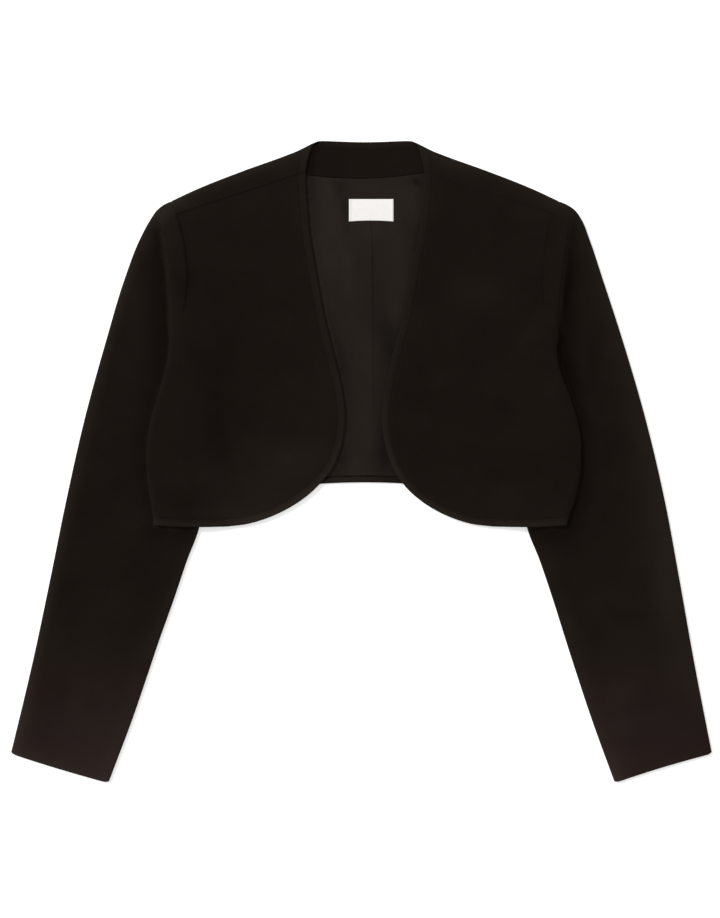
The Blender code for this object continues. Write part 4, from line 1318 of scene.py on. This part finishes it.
def sleeve_fold(edge, inward, height, reach):
    """Both faces of a sleeve's folded edge, from its upper face to its lower one."""
    angles = np.pi * (0.5 - shares_of(SLEEVE_FOLD_STEPS)[1:-1])
    parts = [part[:, None] for part in (edge, inward, height / 2.0, reach)]
    return folded_faces(*parts, angles)


def cuff_shift(side, from_cuff, share, from_edges):
    """How far the cuff's edge lies beyond a straight line: its bow and its rounded corners."""
    bow = CUFF_BOW[side] * 4.0 * share * (1.0 - share)
    corner = -CUFF_CORNER * np.exp(-((from_edges / CUFF_CORNER_REACH) ** 2))
    return (bow + corner) * smooth(1.0 - from_cuff / CUFF_REACH)


def row_places(first, last, columns):
    """Places across each row of a sleeve: even ones, then close ones at its inner fold."""
    cluster = np.array(RIM_STEPS)[::-1]
    even = shares_of(columns) * (last - cluster[0] - first)[:, None]
    return np.concatenate([first[:, None] + even, (last[:, None] - cluster)[:, 1:]], axis=1)


def make_sleeve(side, finish):
    """A laid tube: its upper face, its outer fold, its lower face and its inner fold."""
    outers, inners = sleeve_ends(side)
    widths = np.linalg.norm(inners - outers, axis=1)
    across = unit(inners - outers)
    folded = np.where(np.arange(len(outers)) < CAP_ROWS - 1, 0.0, SLEEVE_TOP / 2.0)
    folded[CAP_ROWS - 1] = UNDERARM_FOLD
    first, last = np.minimum(LAID_TOP / 2.0, FOLD_SHARE * widths), widths - folded
    reach = row_places(first, last, SLEEVE_COLUMNS)
    upper = outers[:, None] + across[:, None] * reach[..., None]
    under_reach = row_places(first, last, UNDER_COLUMNS)
    under = outers[:, None] + across[:, None] * under_reach[..., None]
    seam = np.concatenate([inners[:CAP_ROWS], outers[:1]])
    creases = relief(upper, SLEEVE_CREASES[side])
    from_seam = distance(upper, seam[:-1])
    creases = creases * smooth(from_seam / CREASE_CLEAR) * smooth(reach / FOLD_CLEAR)
    # Painted light inside the cap's fold, the body's painted shadow outside it, and painted shade
    # in the creases and the armhole seam.
    inside_fold = within(side, EDGE_LINES[side], upper) & (-upper[..., 1] < UNDERARM_DOWN)
    shade = np.where(inside_fold, edge_light(side, upper), edge_shade(side, upper))
    shade = shade + CREASE_SHADE * creases + armhole_tone(side, upper)
    top = sleeve_top(side, upper) + creases
    outer_fold = sleeve_fold(outers, across, sleeve_top(side, upper[:, 0]), first)
    inner_height = sleeve_top(side, upper[:, -1])
    inner_fold = sleeve_fold(inners, -across, inner_height, np.maximum(folded, UNDERARM_FOLD))
    both = np.concatenate([
        faces_at(upper, top, top - CLOTH)[:, :, ::-1],
        outer_fold,
        faces_at(under, 0.0, CLOTH),
        inner_fold[:, :, ::-1],
    ], axis=2)
    travel = travelled(outers)
    from_cuff = (travel[-1] - travel)[:, None]
    from_outer = np.einsum("rkj,rj->rk", both[0, ..., :2] - outers[:, None], across)
    share = np.clip(from_outer / widths[:, None], 0.0, 1.0)
    from_edges = np.minimum(from_outer, widths[:, None] - from_outer)
    ahead = np.stack([across[:, 1], -across[:, 0]], axis=1)
    ahead = ahead * np.where(ahead[:, 1:] > 0.0, -1.0, 1.0)
    both[..., :2] += cuff_shift(side, from_cuff, share, from_edges)[..., None] * ahead[:, None]
    plan = both[0, ..., :2]
    away = distance(plan, np.concatenate([seam[-1:], seam[:-1]]))
    both = pinch(both, away, SEAM_ROUND, armhole_ditch(side, plan), 0.0)
    both = pinch(both, np.broadcast_to(from_cuff, share.shape), CUFF_ROUND)
    outer = both[0]
    tone = tone_at(outer[..., :2], SLEEVE_TONES[side] + SHOULDER_LIGHT_AND_SHADE[side])
    # Painted highlights along the cuff and along the folded edges.
    tone = tone + CUFF_EDGE_HIGHLIGHT[side] * bell(from_cuff, CUFF_HIGHLIGHT_WIDTH)
    tone += edge_highlight_at(outer, from_outer, OUTER_EDGE_HIGHLIGHT[side])
    below = outer[..., 1] < -INNER_EDGE_HIGHLIGHT[side][0][0]
    tone += edge_highlight_at(outer, widths[:, None] - from_outer, INNER_EDGE_HIGHLIGHT[side]) * below
    tone[:, : upper.shape[1]] += shade[:, ::-1]
    wall = Wall()
    numbers = wall.lay(both, tone)
    steps = np.linalg.norm(np.diff(outer, axis=1), axis=2)
    around = np.concatenate([np.zeros((len(outer), 1)), np.cumsum(steps, axis=1)], axis=1)
    middle = upper.shape[1]
    around = around - around[:, middle : middle + 1]
    grain = np.stack([around, np.broadcast_to(-travel[:, None], around.shape)], axis=-1)
    cap = np.s_[:CAP_ROWS, :-inner_fold.shape[2]]
    wall.weave(numbers[cap], grain[cap])
    closing = grain[:, -1:] + np.array([SLEEVE_FOLD_CLOSE, 0.0])
    tube = np.concatenate([numbers, numbers[:, :1]], axis=1)
    tube_grain = np.concatenate([grain, closing], axis=1)
    wall.weave(tube[CAP_ROWS - 1 :], tube_grain[CAP_ROWS - 1 :])
    return wall.make(f"sleeve_{WEARER[side]}_cloth", finish)


# ================================================================ the inside


def facing_side(side):
    """The facing's end under the shoulder, down to the facing's own lower edge."""
    line = table_line(side, FACING_SIDE)
    stretch = facing_edge(line[-1][0]) / FACING_SIDE[-1][0]
    line[:, 1] *= 1.0 + (stretch - 1.0) * shares_of(len(line))
    return line


def make_facing(finish):
    left, right = facing_side(-1), facing_side(1)
    top_spread, bottom_spread = [
        np.linspace(left[end][0], right[end][0], FACING_COLUMNS + 1) for end in (0, -1)
    ]
    top = np.stack([top_spread, -neck_line(top_spread)], axis=1)
    top[0], top[-1] = left[0], right[0]
    bottom = np.stack([bottom_spread, -facing_edge(bottom_spread)], axis=1)
    rows = places(FACING_DEPTH, BAND_STEPS, RIM_STEPS, FACING_STEP) / FACING_DEPTH
    plan = patch(top, bottom, left, right, shares_of(FACING_COLUMNS), rows[:, None])
    from_neck = distance(plan, neck_top_line())
    from_bottom = distance(plan, bottom)
    risen = FACING_PUFF * band_height(from_neck) + FACING_PUFF * pulls(plan, from_neck)
    risen = risen + relief(plan, FACING_CREASES) * smooth(from_bottom / FACING_CREASE_CLEAR)
    both = faces_at(plan, INSIDE_TOP + risen, INSIDE_LOW)
    both = pinch(both, from_neck, FACING_ROUND)
    both = pinch(both, from_bottom, *FACING_LOWER_EDGE)
    # The neck band's painted light and shade, the facing's patches, and the painted shade of the
    # fronts' edges.
    tone = band_light_and_shade(from_neck, plan, NECK_BAND_LIGHT_AND_SHADE) + tone_at(plan, FACING_TONES)
    tone = tone + front_shade(plan)
    return make_sheet("neck_facing_cloth", both, tone, plan, finish)


def lining_hem(across):
    """Where the lining ends, just above the back's turned-up hem."""
    halves = []
    for side in WEARER:
        line = table_line(side, BACK_HEM)[::-1]
        halves.append(np.interp(side * across, side * line[:, 0], -line[:, 1]))
    hem = np.where(across > 0.0, halves[1], halves[0])
    hem = np.where(np.abs(across) < BACK_HEM[-1][1], back_hem(across), hem)
    return hem - HEM_TURNUP - LINING_TO_TURNUP - LINING_LAP


def pleat(plan, line):
    """How far the lining's centre pleat stands up at plan points."""
    down = -plan[..., 1]
    depth = PLEAT_HEIGHT * eased(down, PLEAT_RISES) * (1.0 - eased(down, PLEAT_ENDS))
    beside_label = bell(down - LABEL_DOWN - 0.5 * LABEL_HEIGHT, UNDER_LABEL_WIDTH)
    depth = depth * (1.0 - UNDER_LABEL * beside_label**0.5)
    away = line - plan[..., 0]
    before = 1.0 - smooth(-away / PLEAT_FOLD_WIDTH)
    after = 1.0 - smooth(away / PLEAT_SLOPE_WIDTH)
    return depth * np.where(away < 0.0, before, after)


def make_lining(finish):
    left, right = table_line(-1, LINING_SIDE), table_line(1, LINING_SIDE)
    whole = length_of(left)
    shares = places(whole, RIM_STEPS, RIM_STEPS, LINING_STEP) / whole
    starts, ends = along(left, shares)[:, 0], along(right, shares)[:, 0]
    pleat_downs, pleat_places = np.array(PLEAT_LINE).T
    rows = []
    for share, start, end in zip(shares, starts, ends):
        down = FACING_DEPTH + share * (BACK_HEM_MIDDLE - FACING_DEPTH)
        fold = np.interp(down, pleat_downs, pleat_places)
        across = np.concatenate([
            np.linspace(start, fold + PLEAT_STEPS[0], LINING_COLUMNS)[:-1],
            fold + np.array(PLEAT_STEPS),
            np.linspace(fold + PLEAT_STEPS[-1], end, LINING_COLUMNS)[1:],
        ])
        top = facing_edge(across) + FACING_TO_LINING
        down = top + share * (lining_hem(across) - top)
        rows.append(np.stack([across, -down], axis=1))
    plan = np.array(rows)
    fold, = columns_at(plan, PLEAT_LINE)
    creases = relief(plan, LINING_CREASES)
    rise = pleat(plan, fold) + creases
    both = faces_at(plan, INSIDE_TOP + rise, INSIDE_LOW)
    both = pinch(both, distance(plan, plan[0]), *LINING_EDGE)
    from_hem = distance(plan, plan[-1])
    both = pinch(both, from_hem, *LINING_EDGE)
    # Patches of painted light and shade, painted shade in the creases, a painted highlight along
    # the hem, and the painted shade of the fronts' edges.
    tone = tone_at(plan, LINING_TONES) + LINING_SHADE * creases
    tone = tone + LINING_EDGE_LIGHT * bell(from_hem, LINING_LIGHT_WIDTH) + front_shade(plan)
    return make_sheet("back_lining_satin", both, tone, plan, finish)


def from_label_ends(u):
    return np.minimum(u + 0.5, 0.5 - u) * LABEL_WIDTH


def label_height(u, v):
    """The label's upper face above its lowest: its folded ends and a slight crown."""
    crown = LABEL_CROWN * (1.0 - (2.0 * v - 1.0) ** 2) * (1.0 - 4.0 * u * u)
    folded = smooth((LABEL_FOLD - from_label_ends(u)) / LABEL_FOLD_EDGE)
    return LABEL_CLOTH + LABEL_FOLD_HEIGHT * folded + crown


def label_plan(u, v):
    """The label's plan: u runs across from -0.5 to 0.5 and v down from 0 to 1."""
    bow = LABEL_BOW * v * (1.0 - 4.0 * u * u)
    across = LABEL_ACROSS + u * (LABEL_WIDTH - 2.0 * LABEL_TRIM)
    down = LABEL_DOWN + LABEL_LOWER * LABEL_TRIM + v * (LABEL_HEIGHT - 2.0 * LABEL_TRIM)
    return np.stack([across, bow - down], axis=-1)


def make_label(finish):
    u = places(LABEL_WIDTH, LABEL_STEPS, LABEL_STEPS, LABEL_STEP) / LABEL_WIDTH - 0.5
    v = places(LABEL_HEIGHT, RIM_STEPS, RIM_STEPS, LABEL_STEP) / LABEL_HEIGHT
    u, v = np.meshgrid(u, v)
    plan = label_plan(u, v)
    both = faces_at(plan, LABEL_LOW + label_height(u, v), LABEL_LOW)
    edges = np.minimum(v, 1.0 - v) * LABEL_HEIGHT
    both = pinch(both, np.minimum(from_label_ends(u), edges), LABEL_ROUND)
    return make_sheet("woven_label", both, 0.0, plan, finish)


# ================================================================ stitches


def beside(line, away, skip_start=0.0, skip_end=0.0):
    """A line at a distance beside another, on its right as it runs, without its ends."""
    ahead = unit(np.gradient(line, axis=0))
    moved = line + np.stack([ahead[:, 1], -ahead[:, 0]], axis=1) * away
    moved = moved[distance(moved, line) > NEARLY * abs(away)]
    whole = length_of(moved)
    count = max(2, round(whole / GUIDE_STEP))
    return along(moved, np.linspace(skip_start / whole, 1.0 - skip_end / whole, count))


def stitch_tree(name, thread):
    """A node group that lays one stitch after another along the lines that it is given."""
    tree = bpy.data.node_groups.new(name, "GeometryNodeTree")
    sockets = tree.interface
    sockets.new_socket("Geometry", in_out="INPUT", socket_type="NodeSocketGeometry")
    for label in ("Pitch", "Length", "Thread"):
        sockets.new_socket(label, in_out="INPUT", socket_type="NodeSocketFloat")
    sockets.new_socket("Geometry", in_out="OUTPUT", socket_type="NodeSocketGeometry")

    def node(kind, inputs, output=None, **settings):
        """Adds a node, fed with values or with other nodes' outputs. Returns its output."""
        made = tree.nodes.new(kind)
        for key, value in settings.items():
            setattr(made, key, value)
        for key, value in inputs.items():
            if isinstance(value, bpy.types.NodeSocket):
                tree.links.new(value, made.inputs[key])
            else:
                made.inputs[key].default_value = value
        return made.outputs if output is None else made.outputs[output]

    given = node("NodeGroupInput", {})
    line = node("GeometryNodeMeshToCurve", {"Mesh": given["Geometry"]}, "Curve")
    inputs = {"Curve": line, "Length": given["Pitch"]}
    spaced = node("GeometryNodeResampleCurve", inputs, "Curve", mode="LENGTH")
    inputs = {"Vector": node("GeometryNodeInputTangent", {}, "Tangent")}
    turned = node("FunctionNodeAlignRotationToVector", inputs, "Rotation", axis="X")
    inputs = {2: STITCH_UNEVEN[0], 3: STITCH_UNEVEN[1], "Seed": STITCH_SEED}
    uneven = node("FunctionNodeRandomValue", inputs, 1, data_type="FLOAT")
    long = node("ShaderNodeMath", {0: given["Length"], 1: uneven}, 0, operation="MULTIPLY")
    inputs = {"X": long, "Y": given["Thread"], "Z": given["Thread"]}
    size = node("ShaderNodeCombineXYZ", inputs, "Vector")
    bead = node("GeometryNodeMeshUVSphere", {"Segments": 8, "Rings": 5, "Radius": 0.5}, "Mesh")
    inputs = {"Points": spaced, "Instance": bead, "Rotation": turned, "Scale": size}
    laid = node("GeometryNodeInstanceOnPoints", inputs, "Instances")
    real = node("GeometryNodeRealizeInstances", {"Geometry": laid}, "Geometry")
    rounded = node("GeometryNodeSetShadeSmooth", {"Geometry": real}, "Geometry")
    inputs = {"Geometry": rounded, "Material": thread}
    dyed = node("GeometryNodeSetMaterial", inputs, "Geometry")
    node("NodeGroupOutput", {"Geometry": dyed})
    return tree


def make_stitches(name, lines, tree, slot, pitch=STITCH_PITCH, length=STITCH_LENGTH):
    """Stitches along lines of plan points with heights, as one plain mesh."""
    points, edges = [], []
    for line in lines:
        start = len(points)
        points += in_frame(line).tolist()
        edges += [(start + k, start + k + 1) for k in range(len(line) - 1)]
    guide = bpy.data.meshes.new(f"{name}_guide")
    guide.from_pydata(points, edges, [])
    carrier = placed(f"{name}_guide", guide)
    modifier = carrier.modifiers.new("stitches", "NODES")
    modifier.node_group = tree
    sizes = {"Pitch": pitch * MM, "Length": length * MM, "Thread": STITCH_THREAD * MM}
    for item in tree.interface.items_tree:
        if item.item_type == "SOCKET" and item.in_out == "INPUT" and item.name in sizes:
            modifier[item.identifier] = sizes[item.name]
    graph = bpy.context.evaluated_depsgraph_get()
    mesh = bpy.data.meshes.new_from_object(carrier.evaluated_get(graph), depsgraph=graph)
    mesh.name = name
    carrier.modifiers.remove(modifier)
    bpy.data.objects.remove(carrier, do_unlink=True)
    bpy.data.meshes.remove(guide)
    return new_piece(name, mesh)


def front_stitches(side, tree):
    """The topstitching of a front's free edge, from below the shoulder's fold."""
    line = beside(OPENINGS[side], -side * BAND, STITCH_CLEAR, STITCH_CLEAR)
    shoulder_down, shoulder_out, _ = np.array(SHOULDER_LINE).T
    top = np.interp(side * line[:, 0], shoulder_out, shoulder_down)
    line = line[-line[:, 1] > top + STITCH_CLEAR]
    height = front_top(side, line)[0] + STITCH_SINK
    name = f"front_{WEARER[side]}_topstitch"
    return make_stitches(name, [lifted(line, height)], tree, "outer_cloth")


def neck_stitches(tree):
    line = beside(neck_top_line(), BAND, NECK_STITCH_CLEAR, NECK_STITCH_CLEAR)
    rise = FACING_PUFF * band_height(distance(line, neck_top_line()))
    lines = [lifted(line, INSIDE_TOP + rise + STITCH_SINK)]
    return make_stitches("neck_topstitch", lines, tree, "outer_cloth")


def hem_stitches(tree):
    line = beside(back_hem_line(), -HEM_TURNUP, HEM_STITCH_CLEAR, HEM_STITCH_CLEAR)
    height = body_lift(line) + HEM_GROOVE - STITCH_THREAD / 2.0 + HEM_STITCH_SINK
    return make_stitches("back_hem_stitch", [lifted(line, height)], tree, "outer_cloth")


def label_stitches(tree):
    lines = []
    for end in (-0.5, 0.5):
        inset = np.sign(end) * LABEL_STITCH_IN / LABEL_WIDTH
        u = np.full(LABEL_STITCH_POINTS, end - inset)
        v = np.linspace(*LABEL_STITCH_ENDS, LABEL_STITCH_POINTS)
        lines.append(lifted(label_plan(u, v), LABEL_LOW + label_height(u, v)))
    sizes = (LABEL_STITCH_PITCH, LABEL_STITCH_LENGTH)
    return make_stitches("label_stitch", lines, tree, "woven_label", *sizes)


# ================================================================ finishes


def arithmetic(operation, swapped=False):
    """A method that joins a value with another one by a math node."""
    def method(self, other=0.0):
        inputs = {0: other, 1: self} if swapped else {0: self, 1: other}
        return self.finish.node("ShaderNodeMath", {"operation": operation}, inputs)
    return method


class Value:
    """A node's output that takes part in arithmetic."""

    def __init__(self, finish, socket):
        self.finish = finish
        self.socket = socket

    __add__ = arithmetic("ADD")
    __radd__ = arithmetic("ADD", swapped=True)
    __sub__ = arithmetic("SUBTRACT")
    __rsub__ = arithmetic("SUBTRACT", swapped=True)
    __mul__ = arithmetic("MULTIPLY")
    __rmul__ = arithmetic("MULTIPLY", swapped=True)
    sine = arithmetic("SINE")


class Finish:
    """A material that is being made from nodes."""

    def __init__(self, name, settings):
        self.material = bpy.data.materials.new(name)
        self.material.use_nodes = True
        self.tree = self.material.node_tree
        self.shader = self.tree.nodes["Principled BSDF"]
        for socket, value in settings.items():
            self.shader.inputs[socket].default_value = value

    def feed(self, socket, value):
        if isinstance(value, Value):
            self.tree.links.new(value.socket, socket)
        else:
            socket.default_value = value

    def node(self, kind, settings, inputs, output=0):
        made = self.tree.nodes.new(kind)
        for name, value in settings.items():
            setattr(made, name, value)
        for key, value in inputs.items():
            self.feed(made.inputs[key], value)
        return Value(self, made.outputs[output])

    def place(self):
        return self.node("ShaderNodeTexCoord", {}, {}, "Object")

    def tone(self):
        return self.node("ShaderNodeAttribute", {"attribute_name": "tone"}, {}, "Fac")

    def axes(self, place):
        """The two directions across a flat place, as values in metres."""
        return [self.node("ShaderNodeSeparateXYZ", {}, {0: place}, k) for k in (0, 1)]

    def grain(self):
        return self.node("ShaderNodeUVMap", {"uv_map": "grain"}, {})

    def noise(self, place, scale, detail=2.0, rough=0.5):
        inputs = {"Vector": place, "Scale": scale, "Detail": detail, "Roughness": rough}
        return self.node("ShaderNodeTexNoise", {}, inputs)

    def between(self, value, low, high, to_low=0.0, to_high=1.0):
        """A value's range mapped to another, held at its ends."""
        inputs = {"Value": value, "From Min": low, "From Max": high}
        inputs.update({"To Min": to_low, "To Max": to_high})
        return self.node("ShaderNodeMapRange", {"clamp": True}, inputs)

    def mix(self, share, first, second):
        inputs = {0: share, 6: first, 7: second}
        return self.node("ShaderNodeMix", {"data_type": "RGBA"}, inputs, 2)

    def ripple(self, value, pitch):
        """A sine wave along a value in metres."""
        return (value * (2.0 * math.pi / pitch)).sine()

    def bump(self, height, depth, strength, under=None):
        inputs = {"Height": height, "Distance": depth, "Strength": strength}
        if under is not None:
            inputs["Normal"] = under
        return self.node("ShaderNodeBump", {}, inputs)

    def finished(self, colour, roughness, normal):
        """The material, once its shader is fed."""
        fed = {"Base Color": colour, "Roughness": roughness, "Normal": normal}
        for name, value in fed.items():
            self.feed(self.shader.inputs[name], value)
        return self.material


def knit_finish():
    """Smooth black double knit: fine upright wales, a soft nap and faded cuffs."""
    cloth = Finish("black_double_knit", {
        "Metallic": 0.0,
        "Specular IOR Level": KNIT_GLOSS,
        "Sheen Weight": KNIT_SHEEN,
        "Sheen Roughness": 0.45,
        "Sheen Tint": KNIT_SHEEN_TINT,
    })
    place, grain = cloth.place(), cloth.grain()
    across, up = cloth.axes(grain)
    wales = cloth.ripple(across, WALE)
    courses = (up * (2.0 * math.pi / COURSE) + wales * COURSE_LEAN).sine()
    loops = 0.5 + 0.3 * wales + 0.2 * courses
    nap = cloth.noise(place, scale=900.0, detail=2.0, rough=0.6)
    cloudy = cloth.noise(place, scale=9.0, detail=3.0, rough=0.55)
    fine = cloth.noise(place, scale=70.0, detail=3.0, rough=0.6)
    folds = cloth.noise(place, scale=42.0, detail=2.0, rough=0.5)
    faded = cloth.between(cloth.axes(place)[1], *CUFF_FADE)
    # The tone attribute carries painted light and shade and some uneven tone; the noises add the
    # knit's own mottling.
    lit_and_mottled = KNIT_TONE + 0.2 * cloth.tone() + 0.16 * (cloudy - 0.5) + 0.1 * (fine - 0.5)
    lit_and_mottled = cloth.between(lit_and_mottled + 0.05 * (loops - 0.5), 0.0, 1.0)
    colour = cloth.mix(lit_and_mottled, BLACK, BLACK_PALE_AND_LIT)
    pale = cloth.mix(cloth.between(cloth.tone(), 0.0, TONE_FULLY_LIT), BLACK_FADED, FADED_PALE_AND_LIT)
    colour = cloth.mix(faded * (0.85 + 0.3 * (fine - 0.5)), colour, pale)
    soft = cloth.bump(folds, depth=0.0006, strength=0.35)
    knit = cloth.bump(loops, depth=0.00012, strength=0.55, under=soft)
    fuzz = cloth.bump(nap, depth=0.00010, strength=0.45, under=knit)
    return cloth.finished(colour, 0.86 + 0.1 * (nap - 0.5), fuzz)


def satin_finish():
    """Black lining satin: a close twill with a soft gloss."""
    satin = Finish("black_satin", {
        "Metallic": 0.0,
        "Specular IOR Level": SATIN_GLOSS,
        "Sheen Weight": SATIN_SHEEN,
        "Sheen Roughness": 0.35,
        "Sheen Tint": SATIN_SHEEN_TINT,
    })
    place, grain = satin.place(), satin.grain()
    across, up = satin.axes(grain)
    twill = satin.ripple(across + up, TWILL)
    yarn = satin.ripple(up - across * 0.2, YARN)
    cloudy = satin.noise(place, scale=12.0, detail=3.0, rough=0.55)
    slub = satin.noise(place, scale=240.0, detail=2.0, rough=0.5)
    folds = satin.noise(place, scale=55.0, detail=2.0, rough=0.5)
    # The tone attribute carries painted light and shade and some uneven tone; cloudy and slub add
    # the satin's own mottling.
    shade = 0.573 + 0.453 * satin.tone() + 0.4 * (cloudy - 0.5) + 0.133 * (slub - 0.5)
    colour = satin.mix(satin.between(shade, 0.0, 1.0), SATIN, SATIN_LIGHT)
    soft = satin.bump(folds, depth=0.0006, strength=0.3)
    threads = 0.5 + 0.3 * twill + 0.15 * yarn
    weave = satin.bump(threads, depth=0.00006, strength=0.5, under=soft)
    rough = satin.between(cloudy, 0.2, 0.8, to_low=0.42, to_high=0.54)
    return satin.finished(colour, rough, weave)


def woven_finish():
    """A bare off-white woven label: fine ribs across it and a close selvedge."""
    woven = Finish("off_white_woven", {
        "Metallic": 0.0,
        "Specular IOR Level": 0.3,
        "Sheen Weight": 0.1,
        "Sheen Roughness": 0.4,
    })
    place, grain = woven.place(), woven.grain()
    across, up = woven.axes(grain)
    ribs = woven.ripple(up, RIB)
    warp = woven.ripple(across, YARN)
    uneven = woven.noise(place, scale=160.0, detail=3.0, rough=0.6)
    shade = woven.between(0.5 + 0.22 * ribs + 0.1 * warp + 0.7 * (uneven - 0.5), 0.0, 1.0)
    colour = woven.mix(shade, WOVEN_SHADE, WOVEN)
    weave = woven.bump(0.5 + 0.3 * ribs + 0.2 * warp, depth=0.00008, strength=0.6)
    return woven.finished(colour, 0.7 + 0.1 * (uneven - 0.5), weave)


def thread_finish(name, colour):
    """Spun sewing thread, slightly glossier than the cloth."""
    thread = Finish(name, {"Metallic": 0.0, "Specular IOR Level": 0.04})
    place = thread.place()
    x, y = thread.axes(place)
    twist = thread.ripple(x + y, TWIST)
    dark = tuple(THREAD_DARKER * part for part in colour[:3]) + (1.0,)
    shade = thread.mix(0.5 + 0.35 * twist, dark, colour)
    normal = thread.bump(0.5 + 0.5 * twist, depth=0.00005, strength=0.6)
    rough = 0.62 + 0.08 * thread.noise(place, scale=800.0)
    return thread.finished(shade, rough, normal)


# ================================================================ stage


def make_floor():
    """A plain pale floor just below the garment."""
    mesh = bpy.data.meshes.new("floor")
    half = FLOOR_SIZE / 2.0
    corners = [(-half, -half), (half, -half), (half, half), (-half, half)]
    mesh.from_pydata([(x, y, FLOOR_HEIGHT) for x, y in corners], [], [(0, 1, 2, 3)])
    paper = Finish("pale_floor", {
        "Specular IOR Level": 0.1,
        "Roughness": 0.95,
        "Emission Color": WHITE,
        "Emission Strength": FLOOR_GLOW,
    })
    uneven = paper.noise(paper.place(), scale=3.0)
    paper.feed(paper.shader.inputs["Base Color"], paper.mix(uneven, *PAPER))
    mesh.materials.append(paper.material)
    floor = placed("floor", mesh)


def make_key_light():
    """A soft even light from the upper left."""
    light = bpy.data.lights.new("key", "SUN")
    light.energy = KEY_STRENGTH
    light.angle = math.radians(KEY_SPREAD)
    light.color = LAMP_COLOUR
    placed("key", light).rotation_euler = Vector(KEY_FROM).to_track_quat("Z", "Y").to_euler()


def make_world():
    """An even white surround."""
    world = bpy.data.worlds.new("studio")
    world.use_nodes = True
    background = world.node_tree.nodes["Background"].inputs
    background["Color"].default_value = WHITE
    background["Strength"].default_value = WORLD_STRENGTH
    bpy.context.scene.world = world


def make_camera():
    """A camera straight above the garment."""
    lens = bpy.data.cameras.new("overhead")
    lens.lens, lens.sensor_width = CAMERA_LENS, CAMERA_SENSOR
    camera = placed("overhead", lens)
    camera.location = CAMERA_PLACE
    bpy.context.scene.camera = camera


def main():
    knit, satin, woven = knit_finish(), satin_finish(), woven_finish()
    thread = thread_finish("black_thread", THREAD)
    pale_thread = thread_finish("pale_thread", PALE_THREAD)
    pieces = {"back": make_back(knit)}
    for side, wearer in WEARER.items():
        pieces[f"front_{wearer}"] = make_front(side, knit)
        pieces[f"sleeve_{wearer}"] = make_sleeve(side, knit)
    pieces["back_neck_facing"] = make_facing(knit)
    pieces["back_lining"] = make_lining(satin)
    pieces["label"] = make_label(woven)
    for name, piece in pieces.items():
        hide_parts(name)
    tree = stitch_tree("stitching", thread)
    label_tree = stitch_tree("label_stitching", pale_thread)
    stitches = {
        "front_right": [front_stitches(-1, tree)],
        "front_left": [front_stitches(1, tree)],
        "back_neck_facing": [neck_stitches(tree)],
        "back": [hem_stitches(tree)],
        "label": [label_stitches(label_tree)],
    }
    make_floor()
    make_world()
    make_key_light()
    make_camera()
    bpy.context.scene.view_settings.view_transform = "Standard"


main()
